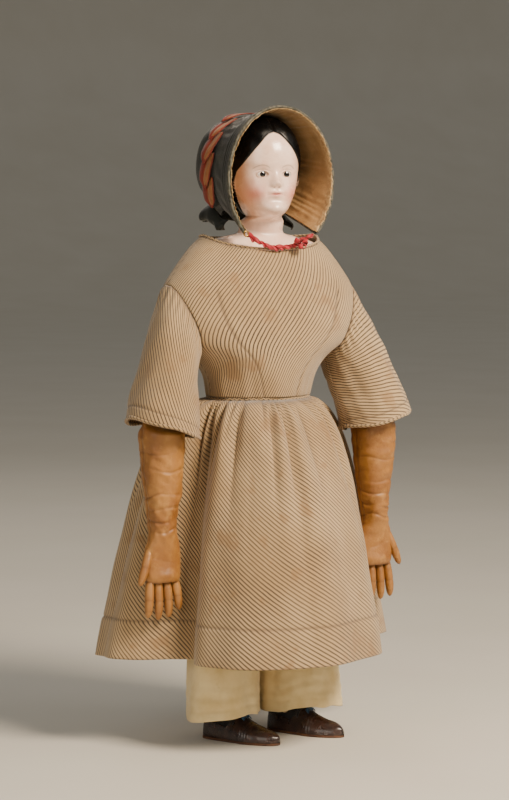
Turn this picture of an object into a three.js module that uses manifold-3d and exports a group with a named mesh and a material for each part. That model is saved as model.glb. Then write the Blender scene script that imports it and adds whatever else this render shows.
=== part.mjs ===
// Standing papier-mache doll with a cloth body, leather arms, striped dress, pantalettes, shoes and bonnet.
// Millimetres, +Z up, the face toward -Y, the doll's left hand toward +X, soles on Z = 0.
import * as THREE from 'three';
import { mergeVertices } from 'three/addons/utils/BufferGeometryUtils.js';
import Module from 'manifold-3d';

const wasm = await Module();
wasm.setup();

// Heights, stacked from the floor up.
const LEG_LENGTH = 317;
const HIP_HEIGHT = 49;
const SEAT_HEIGHT = 48;
const ARMHOLE_RISE = 92;
const SHOULDER_RISE = 192;
const PLATE_DROP = 40;
const NECK_LENGTH = 23;
const HEAD_HEIGHT = 119;
const SKIRT_LENGTH = 306;
const PANTALETTE_HEM = 31;

// Widths and depths.
const WAIST_HALF_WIDTH = 65;
const WAIST_HALF_DEPTH = 54;
const CHEST_HALF_DEPTH = 63;
const SHOULDER_HALF_WIDTH = 130;
const HEAD_HALF_WIDTH = 41;
const FACE_DEPTH = 48;
const HEAD_BACK = 47;
const NECK_RADIUS = 26;
const SKIRT_RADIUS = 150;
const THIGH_RADIUS = 35;
const ANKLE_RADIUS = 15;
const PANTALETTE_RADIUS = 42;
const PANTALETTE_FLARE = 20;
const FOREARM_RADIUS = 27;
const WRIST_RADIUS = 15;
const PALM_HALF_WIDTH = 23;
const PALM_HALF_DEPTH = 10.5;
const FINGER_RADIUS = 5.5;
const ARMHOLE_RADIUS = 41;
const ARMHOLE_LEAN = 21;
const FOREARM_LENGTH = 194;
const SHOE_LENGTH = 106;
const SHOE_HALF_WIDTH = 19;
const SHOE_HEIGHT = 42;
const SOLE_THICKNESS = 3;
const BRIM_HALF_WIDTH = 74;
const EYE_RADIUS = 9;

// Turns of the head toward the doll's right and of both feet toward its left.
const HEAD_TURN = -12;
const HEAD_FORWARD = 11;
const FOOT_TURN = 25;

// Walls and clearances.
const CLOTH = 2;
const LINING = 1.4;
const PAPER_WALL = 4.5;
const CLEARANCE = 0.3;
const LOOSE = 0.6;
const BODY_GAP = 1.8;
const LEG_GAP = 7;
const CORD_RADIUS = 1.5;
const SEAM_EDGE = 0.2;

const RIGHT = -1;
const LEFT = 1;
const legSeamZ = LEG_LENGTH;
const hipFoldZ = legSeamZ + HIP_HEIGHT;
const waistZ = hipFoldZ + SEAT_HEIGHT;
const armholeZ = waistZ + ARMHOLE_RISE;
const shoulderZ = waistZ + SHOULDER_RISE;
const plateZ = shoulderZ - PLATE_DROP;
const chinZ = shoulderZ + NECK_LENGTH;
const headTopZ = chinZ + HEAD_HEIGHT;
const legX = PANTALETTE_RADIUS + LEG_GAP / 2;

function radians(angle) {
  return angle * Math.PI / 180;
}

function mix(a, b, t) {
  return a + (b - a) * t;
}

function ease(t) {
  const k = Math.min(1, Math.max(0, t));
  return k * k * (3 - 2 * k);
}

function bump(x, width) {
  return Math.exp(-((x / width) ** 2));
}

// A smooth curve through pairs of place and value.
function curve(pairs, place) {
  const last = pairs.length - 1;
  if (place <= pairs[0][0]) return pairs[0][1];
  if (place >= pairs[last][0]) return pairs[last][1];
  let i = 0;
  while (place > pairs[i + 1][0]) i += 1;
  const slope = (k) => {
    const a = pairs[Math.max(0, k - 1)];
    const b = pairs[Math.min(last, k + 1)];
    return (b[1] - a[1]) / (b[0] - a[0]);
  };
  const [x0, y0] = pairs[i];
  const [x1, y1] = pairs[i + 1];
  const span = x1 - x0;
  const t = (place - x0) / span;
  const h00 = (1 + 2 * t) * (1 - t) ** 2;
  const h10 = t * (1 - t) ** 2;
  const h01 = t * t * (3 - 2 * t);
  const h11 = t * t * (t - 1);
  return h00 * y0 + h10 * span * slope(i) + h01 * y1 + h11 * span * slope(i + 1);
}

function steps(count) {
  return Array.from({ length: count + 1 }, (_, i) => i / count);
}

// A closed ring of points, angle 0 in front and growing toward the doll's left.
function ring(count, place) {
  return Array.from({ length: count }, (_, i) => place(2 * Math.PI * i / count));
}

// The place at an angle on a rounded-square section.
function section(angle, halfWidth, halfDepth, squareness) {
  const s = Math.sin(angle);
  const c = Math.cos(angle);
  const reach = (Math.abs(s) ** squareness + Math.abs(c) ** squareness) ** (-1 / squareness);
  return [halfWidth * s * reach, -halfDepth * c * reach];
}

function surface(rings, cyclic, capFaces) {
  const count = rings[0].length;
  const points = rings.flat();
  const faces = [];
  const bands = cyclic ? rings.length : rings.length - 1;
  for (let r = 0; r < bands; r += 1) {
    const a = r * count;
    const b = ((r + 1) % rings.length) * count;
    for (let i = 0; i < count; i += 1) {
      const j = (i + 1) % count;
      faces.push(a + i, a + j, b + j, a + i, b + j, b + i);
    }
  }
  if (capFaces) capFaces(points, faces, count, (rings.length - 1) * count);
  const geometry = new THREE.BufferGeometry();
  const places = points.flatMap((p) => p.toArray());
  geometry.setAttribute('position', new THREE.Float32BufferAttribute(places, 3));
  geometry.setIndex(faces);
  return outward(geometry);
}

function outward(geometry) {
  const p = geometry.attributes.position;
  const index = geometry.index.array;
  const a = new THREE.Vector3();
  const b = new THREE.Vector3();
  const c = new THREE.Vector3();
  let volume = 0;
  for (let i = 0; i < index.length; i += 3) {
    a.fromBufferAttribute(p, index[i]);
    b.fromBufferAttribute(p, index[i + 1]);
    c.fromBufferAttribute(p, index[i + 2]);
    volume += a.dot(b.cross(c));
  }
  if (volume < 0) {
    const turned = [];
    for (let i = 0; i < index.length; i += 3) turned.push(index[i], index[i + 2], index[i + 1]);
    geometry.setIndex(turned);
  }
  return geometry;
}

// Rings joined into one solid, closed by a fan at each end.
function loft(rings) {
  return surface(rings, false, (points, faces, count, lastStart) => {
    for (const start of [0, lastStart]) {
      const centre = new THREE.Vector3();
      for (let i = 0; i < count; i += 1) centre.addScaledVector(points[start + i], 1 / count);
      points.push(centre);
      const hub = points.length - 1;
      for (let i = 0; i < count; i += 1) {
        const j = (i + 1) % count;
        if (start === 0) faces.push(hub, start + j, start + i);
        else faces.push(hub, start + i, start + j);
      }
    }
  });
}

// A wall open at both ends: outer rings one way, inner rings back.
function wall(outer, inner) {
  return surface([...outer, ...inner.slice().reverse()], true, null);
}

// A bent strip: each ring is its outer edge out and its inner edge back.
function strip(rings) {
  return surface(rings, false, (points, faces, count, lastStart) => {
    for (const start of [0, lastStart]) {
      for (let i = 0; i < count / 2 - 1; i += 1) {
        const quad = [i, i + 1, count - 2 - i, count - 1 - i].map((k) => start + k);
        if (start === 0) quad.reverse();
        faces.push(quad[0], quad[1], quad[2], quad[0], quad[2], quad[3]);
      }
    }
  });
}

// A closed cord: small sections set round a closed path.
function cordRing(path, radius, sides) {
  const rings = path.map((p, i) => {
    const next = path[(i + 1) % path.length];
    const before = path[(i + path.length - 1) % path.length];
    const forward = next.clone().sub(before).normalize();
    const side = new THREE.Vector3().crossVectors(forward, new THREE.Vector3(0, 0, 1)).normalize();
    const up = new THREE.Vector3().crossVectors(side, forward);
    return ring(sides, (a) => p.clone()
      .addScaledVector(side, radius * Math.sin(a))
      .addScaledVector(up, radius * Math.cos(a)));
  });
  return surface(rings, true, null);
}

// An open round cord along a path.
function cord(points, radius, segments, sides) {
  const outline = new THREE.Shape(Array.from({ length: sides }, (_, i) => {
    const a = 2 * Math.PI * i / sides;
    return new THREE.Vector2(radius * Math.cos(a), radius * Math.sin(a));
  }));
  const extrudePath = new THREE.CatmullRomCurve3(points);
  return new THREE.ExtrudeGeometry(outline, { steps: segments, bevelEnabled: false, extrudePath });
}

function toSolid(geometry) {
  const bare = geometry.clone();
  bare.deleteAttribute('normal');
  bare.deleteAttribute('uv');
  const welded = mergeVertices(bare, 1e-4);
  return new wasm.Manifold(new wasm.Mesh({
    numProp: 3,
    vertProperties: new Float32Array(welded.attributes.position.array),
    triVerts: new Uint32Array(welded.index.array),
  }));
}

function toGeometry(solid) {
  const mesh = solid.getMesh();
  const geometry = new THREE.BufferGeometry();
  geometry.setAttribute('position', new THREE.Float32BufferAttribute(mesh.vertProperties, mesh.numProp));
  geometry.setIndex(Array.from(mesh.triVerts));
  geometry.computeVertexNormals();
  return geometry;
}

function cut(geometry, ...tools) {
  let solid = toSolid(geometry);
  for (const tool of tools) solid = solid.subtract(toSolid(tool));
  return toGeometry(solid);
}

const group = new THREE.Group();

function add(name, geometry, color, roughness, metalness) {
  const material = new THREE.MeshStandardMaterial({ color, roughness, metalness: metalness ?? 0 });
  const mesh = new THREE.Mesh(geometry, material);
  mesh.name = name;
  group.add(mesh);
}

const PAPER = 0xe6cdb4;
const COTTON = 0xd9cbb0;
const STRIPE = 0xb59b7c;
const LEATHER = 0xb9793f;
const SILK = 0x4c5047;
const RED = 0x9c2430;
const SHOE = 0x3a2018;
const BLACK = 0x17171a;

// Turns a piece about the vertical through a place.
function turned(geometry, angle, x, y) {
  geometry.rotateZ(radians(angle));
  geometry.translate(x, y, 0);
  return geometry;
}

// Papier-mache shoulder head: shoulder plate, neck and head as one hollow moulding, open below.
const PLATE_WIDTHS = [[0, 1], [0.2, 0.95], [0.37, 0.86], [0.49, 0.76], [0.56, 0.64], [0.62, 0.48],
  [0.68, 0.34]];
const PLATE_FRONTS = [[0, 1], [0.2, 0.94], [0.37, 0.84], [0.49, 0.74], [0.56, 0.65], [0.62, 0.57],
  [0.68, 0.5]];
const HEAD_WIDTHS = [[0, 0.44], [0.06, 0.6], [0.14, 0.74], [0.26, 0.88], [0.4, 0.97], [0.56, 1],
  [0.7, 0.95], [0.82, 0.81], [0.91, 0.62], [0.97, 0.37], [1, 0.1]];
const HEAD_FRONTS = [[0, 0.9], [0.06, 1.04], [0.14, 1.03], [0.24, 1.06], [0.34, 1], [0.46, 0.98],
  [0.56, 1.03], [0.7, 0.98], [0.82, 0.82], [0.91, 0.6], [0.97, 0.36], [1, 0.1]];
const HEAD_BACKS = [[0, 0.52], [0.14, 0.72], [0.28, 0.9], [0.45, 1], [0.6, 1], [0.75, 0.9], [0.86, 0.72],
  [0.94, 0.46], [1, 0.1]];
const plateHalfWidth = SHOULDER_HALF_WIDTH * 0.755;
const plateHalfDepth = CHEST_HALF_DEPTH * 0.81;

function headRing(z, inset, count) {
  const turn = radians(HEAD_TURN) * ease((z - shoulderZ - 2) / (NECK_LENGTH * 0.7));
  const onPlate = (z - plateZ) / (chinZ - plateZ);
  const lean = HEAD_FORWARD * ease((onPlate - 0.35) / 0.8);
  const onHead = (z - chinZ) / HEAD_HEIGHT;
  let width = NECK_RADIUS;
  let front = NECK_RADIUS;
  let back = NECK_RADIUS * 0.96;
  if (onPlate < 0.75) {
    const blend = ease((onPlate - 0.6) / 0.15);
    width = mix(plateHalfWidth * curve(PLATE_WIDTHS, onPlate), NECK_RADIUS, blend);
    front = mix(plateHalfDepth * curve(PLATE_FRONTS, onPlate), NECK_RADIUS, blend);
    back = mix(plateHalfDepth * curve(PLATE_FRONTS, onPlate), NECK_RADIUS * 0.96, blend);
  }
  if (onHead >= 0) {
    width = HEAD_HALF_WIDTH * curve(HEAD_WIDTHS, onHead);
    front = FACE_DEPTH * curve(HEAD_FRONTS, onHead);
    back = HEAD_BACK * curve(HEAD_BACKS, onHead);
  }
  return ring(count, (a) => {
    const ahead = Math.cos(a) > 0;
    const [x, y] = section(a, width - inset, (ahead ? front : back) - inset, 2.15);
    const fromFront = a > Math.PI ? a - 2 * Math.PI : a;
    const nose = inset > 0 ? 0 : 10 * bump(onHead - 0.33, 0.085) * bump(fromFront, 0.2);
    const forward = y - nose;
    return new THREE.Vector3(
      x * Math.cos(turn) - forward * Math.sin(turn),
      x * Math.sin(turn) + forward * Math.cos(turn) - lean,
      z,
    );
  });
}

const headHeights = [
  ...[0, 0.2, 0.37, 0.49, 0.56, 0.62, 0.7, 0.86].map((t) => mix(plateZ, chinZ, t)),
  ...[0, 0.06, 0.14, 0.22, 0.29, 0.34, 0.4, 0.48, 0.56, 0.66, 0.76, 0.85, 0.92, 0.97, 1]
    .map((t) => mix(chinZ, headTopZ, t)),
];
const headOutside = loft(headHeights.map((z) => headRing(z, 0, 30)));
const hollowHeights = [
  plateZ - 1,
  ...[0.2, 0.37, 0.49, 0.58, 0.7, 0.9].map((t) => mix(plateZ, chinZ, t) - PAPER_WALL * 0.8),
  ...[0.1, 0.3, 0.5, 0.7, 0.85].map((t) => mix(chinZ, headTopZ, t)),
  headTopZ - PAPER_WALL * 1.6,
];
const headInside = loft(hollowHeights.map((z) => headRing(Math.max(z, plateZ), PAPER_WALL, 18)));
const hollowPositions = headInside.attributes.position;
for (let i = 0; i < hollowPositions.count; i += 1) {
  if (hollowPositions.getZ(i) <= plateZ) hollowPositions.setZ(i, plateZ - 1);
}
const eyeZ = chinZ + HEAD_HEIGHT * 0.416;
const eyeX = HEAD_HALF_WIDTH * 0.363;
const eyeY = -FACE_DEPTH * 0.93 + EYE_RADIUS * 1.05;

function eyeBall(side, radius) {
  const ball = new THREE.SphereGeometry(radius, 12, 8);
  ball.translate(side * eyeX, eyeY, eyeZ);
  ball.rotateZ(radians(HEAD_TURN));
  ball.translate(0, -HEAD_FORWARD, 0);
  return ball;
}

const sockets = [RIGHT, LEFT].map((side) => eyeBall(side, EYE_RADIUS + CLEARANCE));
add('shoulder_head', cut(headOutside, headInside, ...sockets), PAPER, 0.35);
add('right_glass_eye', eyeBall(RIGHT, EYE_RADIUS), 0x1a1210, 0.05);
add('left_glass_eye', eyeBall(LEFT, EYE_RADIUS), 0x1a1210, 0.05);

// Each armhole is a round seam in a leaning plane, so the arm turns about that plane's normal.
const lean = radians(ARMHOLE_LEAN);
const armholeX = SHOULDER_HALF_WIDTH * 0.837;
const armholeY = 0;
const upright = new THREE.Vector3(Math.sin(lean), 0, Math.cos(lean));
const away = new THREE.Vector3(Math.cos(lean), 0, -Math.sin(lean));

function armholeCentre(side) {
  return new THREE.Vector3(side * armholeX, armholeY, armholeZ);
}

// Bodice and torso share one set of sections from the waist to the shoulders.
const BODICE_WIDTHS = [[0, 0], [0.14, 0.09], [0.24, 0.32], [0.34, 0.75], [0.45, 0.98], [0.6, 1],
  [0.7, 0.92], [0.79, 0.74], [0.86, 0.58], [0.93, 0.4], [1, 0.16]];
const BODICE_DEPTHS = [[0, 0.86], [0.14, 0.94], [0.29, 1.01], [0.45, 1.02], [0.6, 0.97], [0.76, 0.89],
  [0.86, 0.82], [0.93, 0.75], [1, 0.67]];

function bodiceHalfWidth(rise) {
  return mix(WAIST_HALF_WIDTH, SHOULDER_HALF_WIDTH, curve(BODICE_WIDTHS, rise));
}

function bodiceHalfDepth(rise) {
  return CHEST_HALF_DEPTH * curve(BODICE_DEPTHS, rise);
}

function bodicePoint(angle, z, inset) {
  const rise = (z - waistZ) / SHOULDER_RISE;
  const squareness = 2 + 0.22 * bump(rise - 0.45, 0.3);
  const [x, y] = section(angle, bodiceHalfWidth(rise) - inset, bodiceHalfDepth(rise) - inset, squareness);
  return new THREE.Vector3(x, y, z);
}

// The neckline dips in front.
function necklineZ(angle) {
  const ahead = Math.max(0, Math.cos(angle));
  return shoulderZ - 1 - SHOULDER_RISE * (0.085 * ahead ** 1.5 + 0.02 * Math.max(0, -Math.cos(angle)));
}

function outsideArmhole(side, offset) {
  const block = new THREE.BoxGeometry(200, 400, 400);
  block.translate(100 + offset, 0, 0);
  block.rotateY(lean);
  if (side === RIGHT) block.rotateZ(Math.PI);
  const centre = armholeCentre(side);
  block.translate(centre.x, 0, centre.z);
  return block;
}

// Rows from the waist to the shoulder plate's ledge, then on to the neckline.
const ledgeZ = plateZ - CLEARANCE;
const lowerRows = steps(5);
const upperRows = [0.5, 1];

function bodiceRows(inset) {
  const below = ledgeZ - BODY_GAP;
  return [
    ...lowerRows.map((v) => ring(28, (a) => bodicePoint(a, mix(waistZ + LOOSE, below, v), inset))),
    ...upperRows.map((v) => ring(28, (a) => bodicePoint(a, mix(below, necklineZ(a), v), inset))),
  ];
}

const bodiceOuter = bodiceRows(0);
const bodiceInner = bodiceRows(CLOTH);
const armholeBlocks = [RIGHT, LEFT].map((side) => outsideArmhole(side, -CLEARANCE));
add('dress_bodice', cut(wall(bodiceOuter, bodiceInner), ...armholeBlocks), STRIPE, 0.85);

const torsoInset = CLOTH + LOOSE;
const torsoRings = [];
for (const t of [0, 0.5, 1]) {
  const z = mix(hipFoldZ + CLEARANCE, waistZ, t);
  const depth = mix(SEAM_EDGE, WAIST_HALF_DEPTH - torsoInset - CLOTH, t ** 0.9);
  const width = WAIST_HALF_WIDTH - torsoInset - CLOTH;
  torsoRings.push(ring(28, (a) => new THREE.Vector3(...section(a, width, depth, 2.2), z)));
}
// Under the bodice the torso follows the cloth's own inside, drawn in by the loose fit.
const shrunk = (p) => {
  const reach = Math.hypot(p.x, p.y);
  const scale = 1 - BODY_GAP / reach;
  return new THREE.Vector3(p.x * scale, p.y * scale, p.z);
};
for (const row of bodiceInner.slice(1, lowerRows.length)) torsoRings.push(row.map(shrunk));
for (const t of [0, 0.12, 0.3]) {
  const z = mix(ledgeZ, chinZ, t);
  const held = PAPER_WALL + 2 + 20 * t;
  const width = plateHalfWidth * curve(PLATE_WIDTHS, t) - held;
  const depth = plateHalfDepth * curve(PLATE_FRONTS, t) - held;
  torsoRings.push(ring(28, (a) => new THREE.Vector3(...section(a, width, depth, 2), z)));
}
add('torso_bag', cut(loft(torsoRings), ...armholeBlocks), COTTON, 0.9);

// Corded seams at the neck and the waist.
add('neck_piping', cordRing(ring(32, (a) => {
  const p = bodicePoint(a, necklineZ(a), CLOTH / 2);
  p.z += CORD_RADIUS + CLEARANCE;
  return p;
}), CORD_RADIUS, 5), STRIPE, 0.85);

// Skirt: gathered at the waist, with a front lobe, deep side folds, wide side lobes and a full back.
const skirtTopZ = waistZ - 2 * CORD_RADIUS - CLEARANCE;
const hemZ = waistZ - SKIRT_LENGTH;

// Places round the hem, in degrees from the front on either side.
const foldAt = 75;
const foldSpread = 11;
const leftFoldSpread = 20;
const lobeAt = 97;
const lobeSpread = [20, 32];
const frontSpread = 40;
const backSpread = 35;
const hemWaves = 10;

function hemRadius(angle) {
  const signed = Math.atan2(Math.sin(angle), Math.cos(angle)) * 180 / Math.PI;
  const turn = Math.abs(signed);
  const lobe = bump(turn - lobeAt, turn < lobeAt ? lobeSpread[0] : lobeSpread[1]);
  const fold = bump(turn - foldAt, signed > 0 && turn < foldAt ? leftFoldSpread : foldSpread);
  const ends = bump(turn, frontSpread) + bump(180 - turn, backSpread);
  const wave = 0.022 * Math.cos(radians(turn) * hemWaves);
  return SKIRT_RADIUS * (1 + 0.08 * ends + 0.33 * lobe - 0.37 * fold + wave);
}

function skirtPoint(angle, fall, inset) {
  const warped = angle + 0.25 * Math.sin(2 * angle);
  const s = Math.sin(warped);
  const c = Math.cos(warped);
  const top = 1 / Math.hypot(s / WAIST_HALF_WIDTH, c / WAIST_HALF_DEPTH);
  const gather = 1.5 * Math.cos(14 * warped) * bump(fall - 0.12, 0.2);
  const reach = mix(top, hemRadius(warped), fall ** 0.45) + gather - inset;
  return new THREE.Vector3(reach * s, -reach * c, mix(skirtTopZ, hemZ, fall));
}

const skirtRows = [0, 0.05, 0.13, 0.25, 0.4, 0.56, 0.72, 0.87, 1];
const skirtOuter = skirtRows.map((v) => ring(48, (a) => skirtPoint(a, v, 0)));
const skirtInner = skirtRows.map((v) => ring(48, (a) => skirtPoint(a, v, CLOTH)));
add('dress_skirt', wall(skirtOuter, skirtInner), STRIPE, 0.85);

add('waist_piping', cordRing(ring(32, (a) => {
  const [x, y] = section(a, WAIST_HALF_WIDTH - CLOTH / 2, WAIST_HALF_DEPTH - CLOTH / 2, 2);
  return new THREE.Vector3(x, y, waistZ - CORD_RADIUS + LOOSE / 4);
}), CORD_RADIUS - CLEARANCE / 2, 5), STRIPE, 0.85);

// Arms. The outer and inner edges of the sleeve run from the armhole to the hem.
const armX = SHOULDER_HALF_WIDTH * 1.135;
const elbowZ = armholeZ - SHOULDER_HALF_WIDTH * 0.848;
const elbowY = armholeY - 28;
const hemDrop = 17;
const sleeveHemZ = elbowZ - hemDrop;
const sleeveHemHalf = FOREARM_RADIUS * 1.56;

function armSection(t) {
  const top = upright.clone().multiplyScalar(ARMHOLE_RADIUS).add(new THREE.Vector3(armholeX, 0, armholeZ));
  const under = upright.clone().multiplyScalar(-ARMHOLE_RADIUS);
  under.add(new THREE.Vector3(armholeX, 0, armholeZ));
  const outerEnd = new THREE.Vector3(armX + sleeveHemHalf, 0, sleeveHemZ + 18);
  const innerEnd = new THREE.Vector3(armX - sleeveHemHalf, 0, sleeveHemZ - 6);
  const outerMid = top.clone().add(outerEnd).multiplyScalar(0.5).add(new THREE.Vector3(6, 0, 6));
  const outer = new THREE.QuadraticBezierCurve3(top, outerMid, outerEnd).getPoint(t);
  const inner = under.clone().lerp(innerEnd, t);
  const middle = outer.clone().add(inner).multiplyScalar(0.5);
  middle.y = mix(armholeY, elbowY - 3, t);
  const across = outer.sub(inner).multiplyScalar(0.5);
  return { middle, across, depth: mix(ARMHOLE_RADIUS, sleeveHemHalf * 1.12, t) };
}

function sleeveRing(side, t, inset, offset, count) {
  const { middle, across, depth } = armSection(t);
  const half = across.length();
  const unit = across.clone().divideScalar(half);
  return ring(count, (a) => {
    const p = middle.clone()
      .addScaledVector(unit, (half - inset) * Math.cos(a))
      .addScaledVector(away, offset);
    p.y += (depth - inset) * Math.sin(a);
    p.x *= side;
    return p;
  });
}

// Palm and forearm sections from the elbow seam to the knuckles, as part of the length and of the width.
const palmZ = elbowZ - FOREARM_LENGTH;
const palmX = armX + 2;
const ARM_PLACES = [0, 0.05, 0.1, 0.2, 0.34, 0.5, 0.6, 0.67, 0.74, 0.82, 0.91, 1];
const wristAt = 0.67;

function armRing(side, t, grow) {
  const z = mix(elbowZ - CLEARANCE, palmZ, t);
  const arm = curve([[0, 0.9], [0.1, 1], [0.25, 0.95], [0.5, 0.76], [wristAt, 0.6]], t) * FOREARM_RADIUS;
  const hand = ease((t - wristAt) / 0.14);
  const palm = PALM_HALF_WIDTH * curve([[wristAt, 0.8], [0.82, 1], [0.91, 1.02], [1, 0.96]], t);
  const width = mix(Math.max(arm, WRIST_RADIUS), palm, hand);
  const flat = ease(t / 0.1);
  const depth = mix(mix(SEAM_EDGE, Math.max(arm, WRIST_RADIUS), flat), PALM_HALF_DEPTH, hand);
  const x = mix(armX, palmX, t);
  const y = mix(elbowY, elbowY - 3, t);
  return ring(16, (a) => {
    const [dx, dy] = section(a, width + grow, depth + grow, 2.1);
    return new THREE.Vector3(side * (x + dx), y + dy, z);
  });
}

// A stuffed leather finger: a rounded tube from its seam to its tip.
function finger(start, end, radius) {
  const direction = end.clone().sub(start);
  const length = direction.length();
  direction.normalize();
  const aside = new THREE.Vector3().crossVectors(direction, new THREE.Vector3(0, 1, 0)).normalize();
  const ahead = new THREE.Vector3().crossVectors(direction, aside);
  const shape = [[0, 0.82], [0.25, 0.98], [0.65, 1], [0.9, 0.78], [1, 0.34]];
  return loft(shape.map(([t, size]) => ring(8, (a) => start.clone()
    .addScaledVector(direction, t * length)
    .addScaledVector(aside, radius * size * Math.sin(a))
    .addScaledVector(ahead, radius * size * Math.cos(a)))));
}

const FINGERS = [['index_finger', 1.5, 41], ['middle_finger', 0.5, 44], ['ring_finger', -0.5, 42],
  ['little_finger', -1.5, 34]];
const fingerPitch = 2 * FINGER_RADIUS + CLEARANCE;

for (const [side, word] of [[RIGHT, 'right'], [LEFT, 'left']]) {
  const rows = [0, 0.2, 0.42, 0.64, 0.84, 1];
  const outer = rows.map((t) => sleeveRing(side, t, 0, CLEARANCE, 20));
  const inner = rows.map((t) => sleeveRing(side, t, CLOTH, CLEARANCE, 20));
  add(`${word}_sleeve`, wall(outer, inner), STRIPE, 0.85);

  const binding = sleeveRing(side, 1, CLOTH / 2, CLEARANCE, 20);
  const hem = armSection(1);
  const below = new THREE.Vector3(side * hem.across.z, 0, -hem.across.x).normalize();
  for (const p of binding) p.addScaledVector(below, CORD_RADIUS + CLEARANCE);
  add(`${word}_sleeve_binding`, cordRing(binding, CORD_RADIUS, 5), STRIPE, 0.85);

  const armTop = [0, 0.3, 0.55].map((t) => sleeveRing(side, t, ARMHOLE_RADIUS * 0.3, CLEARANCE, 14));
  const elbowSizes = [[18, 1], [9, 0.6], [CLEARANCE, SEAM_EDGE / FOREARM_RADIUS]];
  const armBottom = elbowSizes.map(([rise, thick]) => ring(14, (a) => {
    const [dx, dy] = section(a + Math.PI / 2, FOREARM_RADIUS * 0.94, FOREARM_RADIUS * thick, 2);
    return new THREE.Vector3(side * (armX + dx), elbowY + dy, elbowZ + rise);
  }));
  add(`${word}_upper_arm`, loft([...armTop, ...armBottom]), COTTON, 0.9);

  const armShape = (grow) => loft(ARM_PLACES.map((t) => armRing(side, t, grow)));
  add(`${word}_leather_arm`, armShape(0), LEATHER, 0.5);
  const handY = elbowY - 3;
  for (const [name, place, length] of FINGERS) {
    const x = side * (palmX + place * fingerPitch);
    const start = new THREE.Vector3(x, handY, palmZ - CLEARANCE);
    const end = new THREE.Vector3(x + side * place * 0.6, handY - 2, palmZ - length);
    add(`${word}_${name}`, finger(start, end, FINGER_RADIUS), LEATHER, 0.5);
  }
  const thumbStart = new THREE.Vector3(side * (palmX + PALM_HALF_WIDTH * 0.72), handY, palmZ + 40);
  const thumbEnd = new THREE.Vector3(side * (palmX + PALM_HALF_WIDTH * 1.5), handY - 5, palmZ - 2);
  const thumb = finger(thumbStart, thumbEnd, FINGER_RADIUS * 1.1);
  add(`${word}_thumb`, cut(thumb, armShape(CLEARANCE)), LEATHER, 0.5);
}

// Seat of the body between the fold seam above and the leg seam below.
const hipHalfWidth = legX + THIGH_RADIUS * 0.85;
const hipHalfDepth = THIGH_RADIUS * 1.1;
const hipEdge = SEAM_EDGE / hipHalfDepth;
add('hip_bag', loft([[0, hipEdge], [0.3, 0.5], [0.62, 1], [0.85, 0.72], [1, hipEdge]].map(([t, thick]) => {
  const z = mix(hipFoldZ - CLEARANCE, legSeamZ + CLEARANCE, t);
  return ring(24, (a) => new THREE.Vector3(...section(a, hipHalfWidth, hipHalfDepth * thick, 2.3), z));
})), COTTON, 0.9);

// Legs, pantalettes and shoes. The foot points along a turned line from the heel to the toe.
const LEG_SIZES = [[0, 1, SEAM_EDGE / THIGH_RADIUS], [0.06, 1, 0.66], [0.16, 1, 1], [0.4, 0.9, 0.92],
  [0.65, 0.74, 0.76], [0.85, 0.5, 0.5]];
const heelBack = SHOE_LENGTH * 0.27;
const legFootZ = SOLE_THICKNESS + 6;
const tapeZ = legSeamZ - LEG_LENGTH * 0.08;
const tapeHeight = 5;

function legRing(t, width, depth) {
  const z = mix(legSeamZ - CLEARANCE, legFootZ, t);
  return ring(16, (a) => {
    const [x, y] = section(a, THIGH_RADIUS * width, THIGH_RADIUS * depth, 2);
    return new THREE.Vector3(x, y, z);
  });
}

function ankleRing(z, grow) {
  return ring(16, (a) => new THREE.Vector3(
    (ANKLE_RADIUS + grow) * Math.sin(a),
    -(ANKLE_RADIUS + grow) * Math.cos(a),
    z,
  ));
}

const ankleTopZ = SOLE_THICKNESS + SHOE_HEIGHT + 6;

function legShape() {
  const above = LEG_SIZES.filter(([t]) => mix(legSeamZ, legFootZ, t) > ankleTopZ);
  return loft([...above.map((s) => legRing(...s)), ankleRing(ankleTopZ, 0), ankleRing(legFootZ, 0)]);
}

function pantaletteRing(side, t, inset) {
  return ring(20, (a) => {
    const hem = PANTALETTE_HEM + 4 * Math.cos(a - radians(20)) + 2 * Math.cos(3 * a);
    const z = mix(tapeZ - CLEARANCE, hem, t);
    const gathered = mix(THIGH_RADIUS + CLOTH + 1.2, PANTALETTE_RADIUS, ease(t * 3));
    const fold = 1.6 * Math.cos(5 * a + side) * ease(t * 2) - 1.6 * ease(t * 2);
    const deep = 1 + 0.1 * t * Math.max(0, Math.cos(a));
    const flare = PANTALETTE_FLARE * t * Math.max(0, Math.cos(a - side * radians(59))) ** 2;
    const reach = gathered + fold + flare - inset;
    return new THREE.Vector3(reach * Math.sin(a), -reach * deep * Math.cos(a), z);
  });
}

// Shoe sections along the foot: place, half width and height as parts of the shoe's own.
const SHOE_SECTIONS = [[0, 0.42, 0.5], [0.05, 0.74, 0.82], [0.16, 0.9, 1], [0.32, 0.94, 1],
  [0.46, 0.98, 0.78], [0.6, 1.02, 0.5], [0.76, 0.88, 0.36], [0.9, 0.58, 0.28], [1, 0.2, 0.18]];
const vampStart = 0.5;

function shoeOutline(t) {
  const width = curve(SHOE_SECTIONS.map((s) => [s[0], s[1]]), t) * SHOE_HALF_WIDTH;
  const height = curve(SHOE_SECTIONS.map((s) => [s[0], s[2]]), t) * SHOE_HEIGHT;
  return { y: heelBack - t * SHOE_LENGTH, width, height };
}

const upperZ = SOLE_THICKNESS + CLEARANCE;

function shoeRing(t) {
  const { y, width, height } = shoeOutline(t);
  const arch = steps(8).map((k) => {
    const a = Math.PI * (k - 0.5);
    const narrow = 1 - 0.28 * Math.max(0, Math.cos(a)) * (height / SHOE_HEIGHT);
    return new THREE.Vector3(width * Math.sin(a) * narrow, y, upperZ + height * Math.cos(a) ** 0.75);
  });
  arch[0].z = upperZ;
  arch[8].z = upperZ;
  return arch;
}

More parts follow.
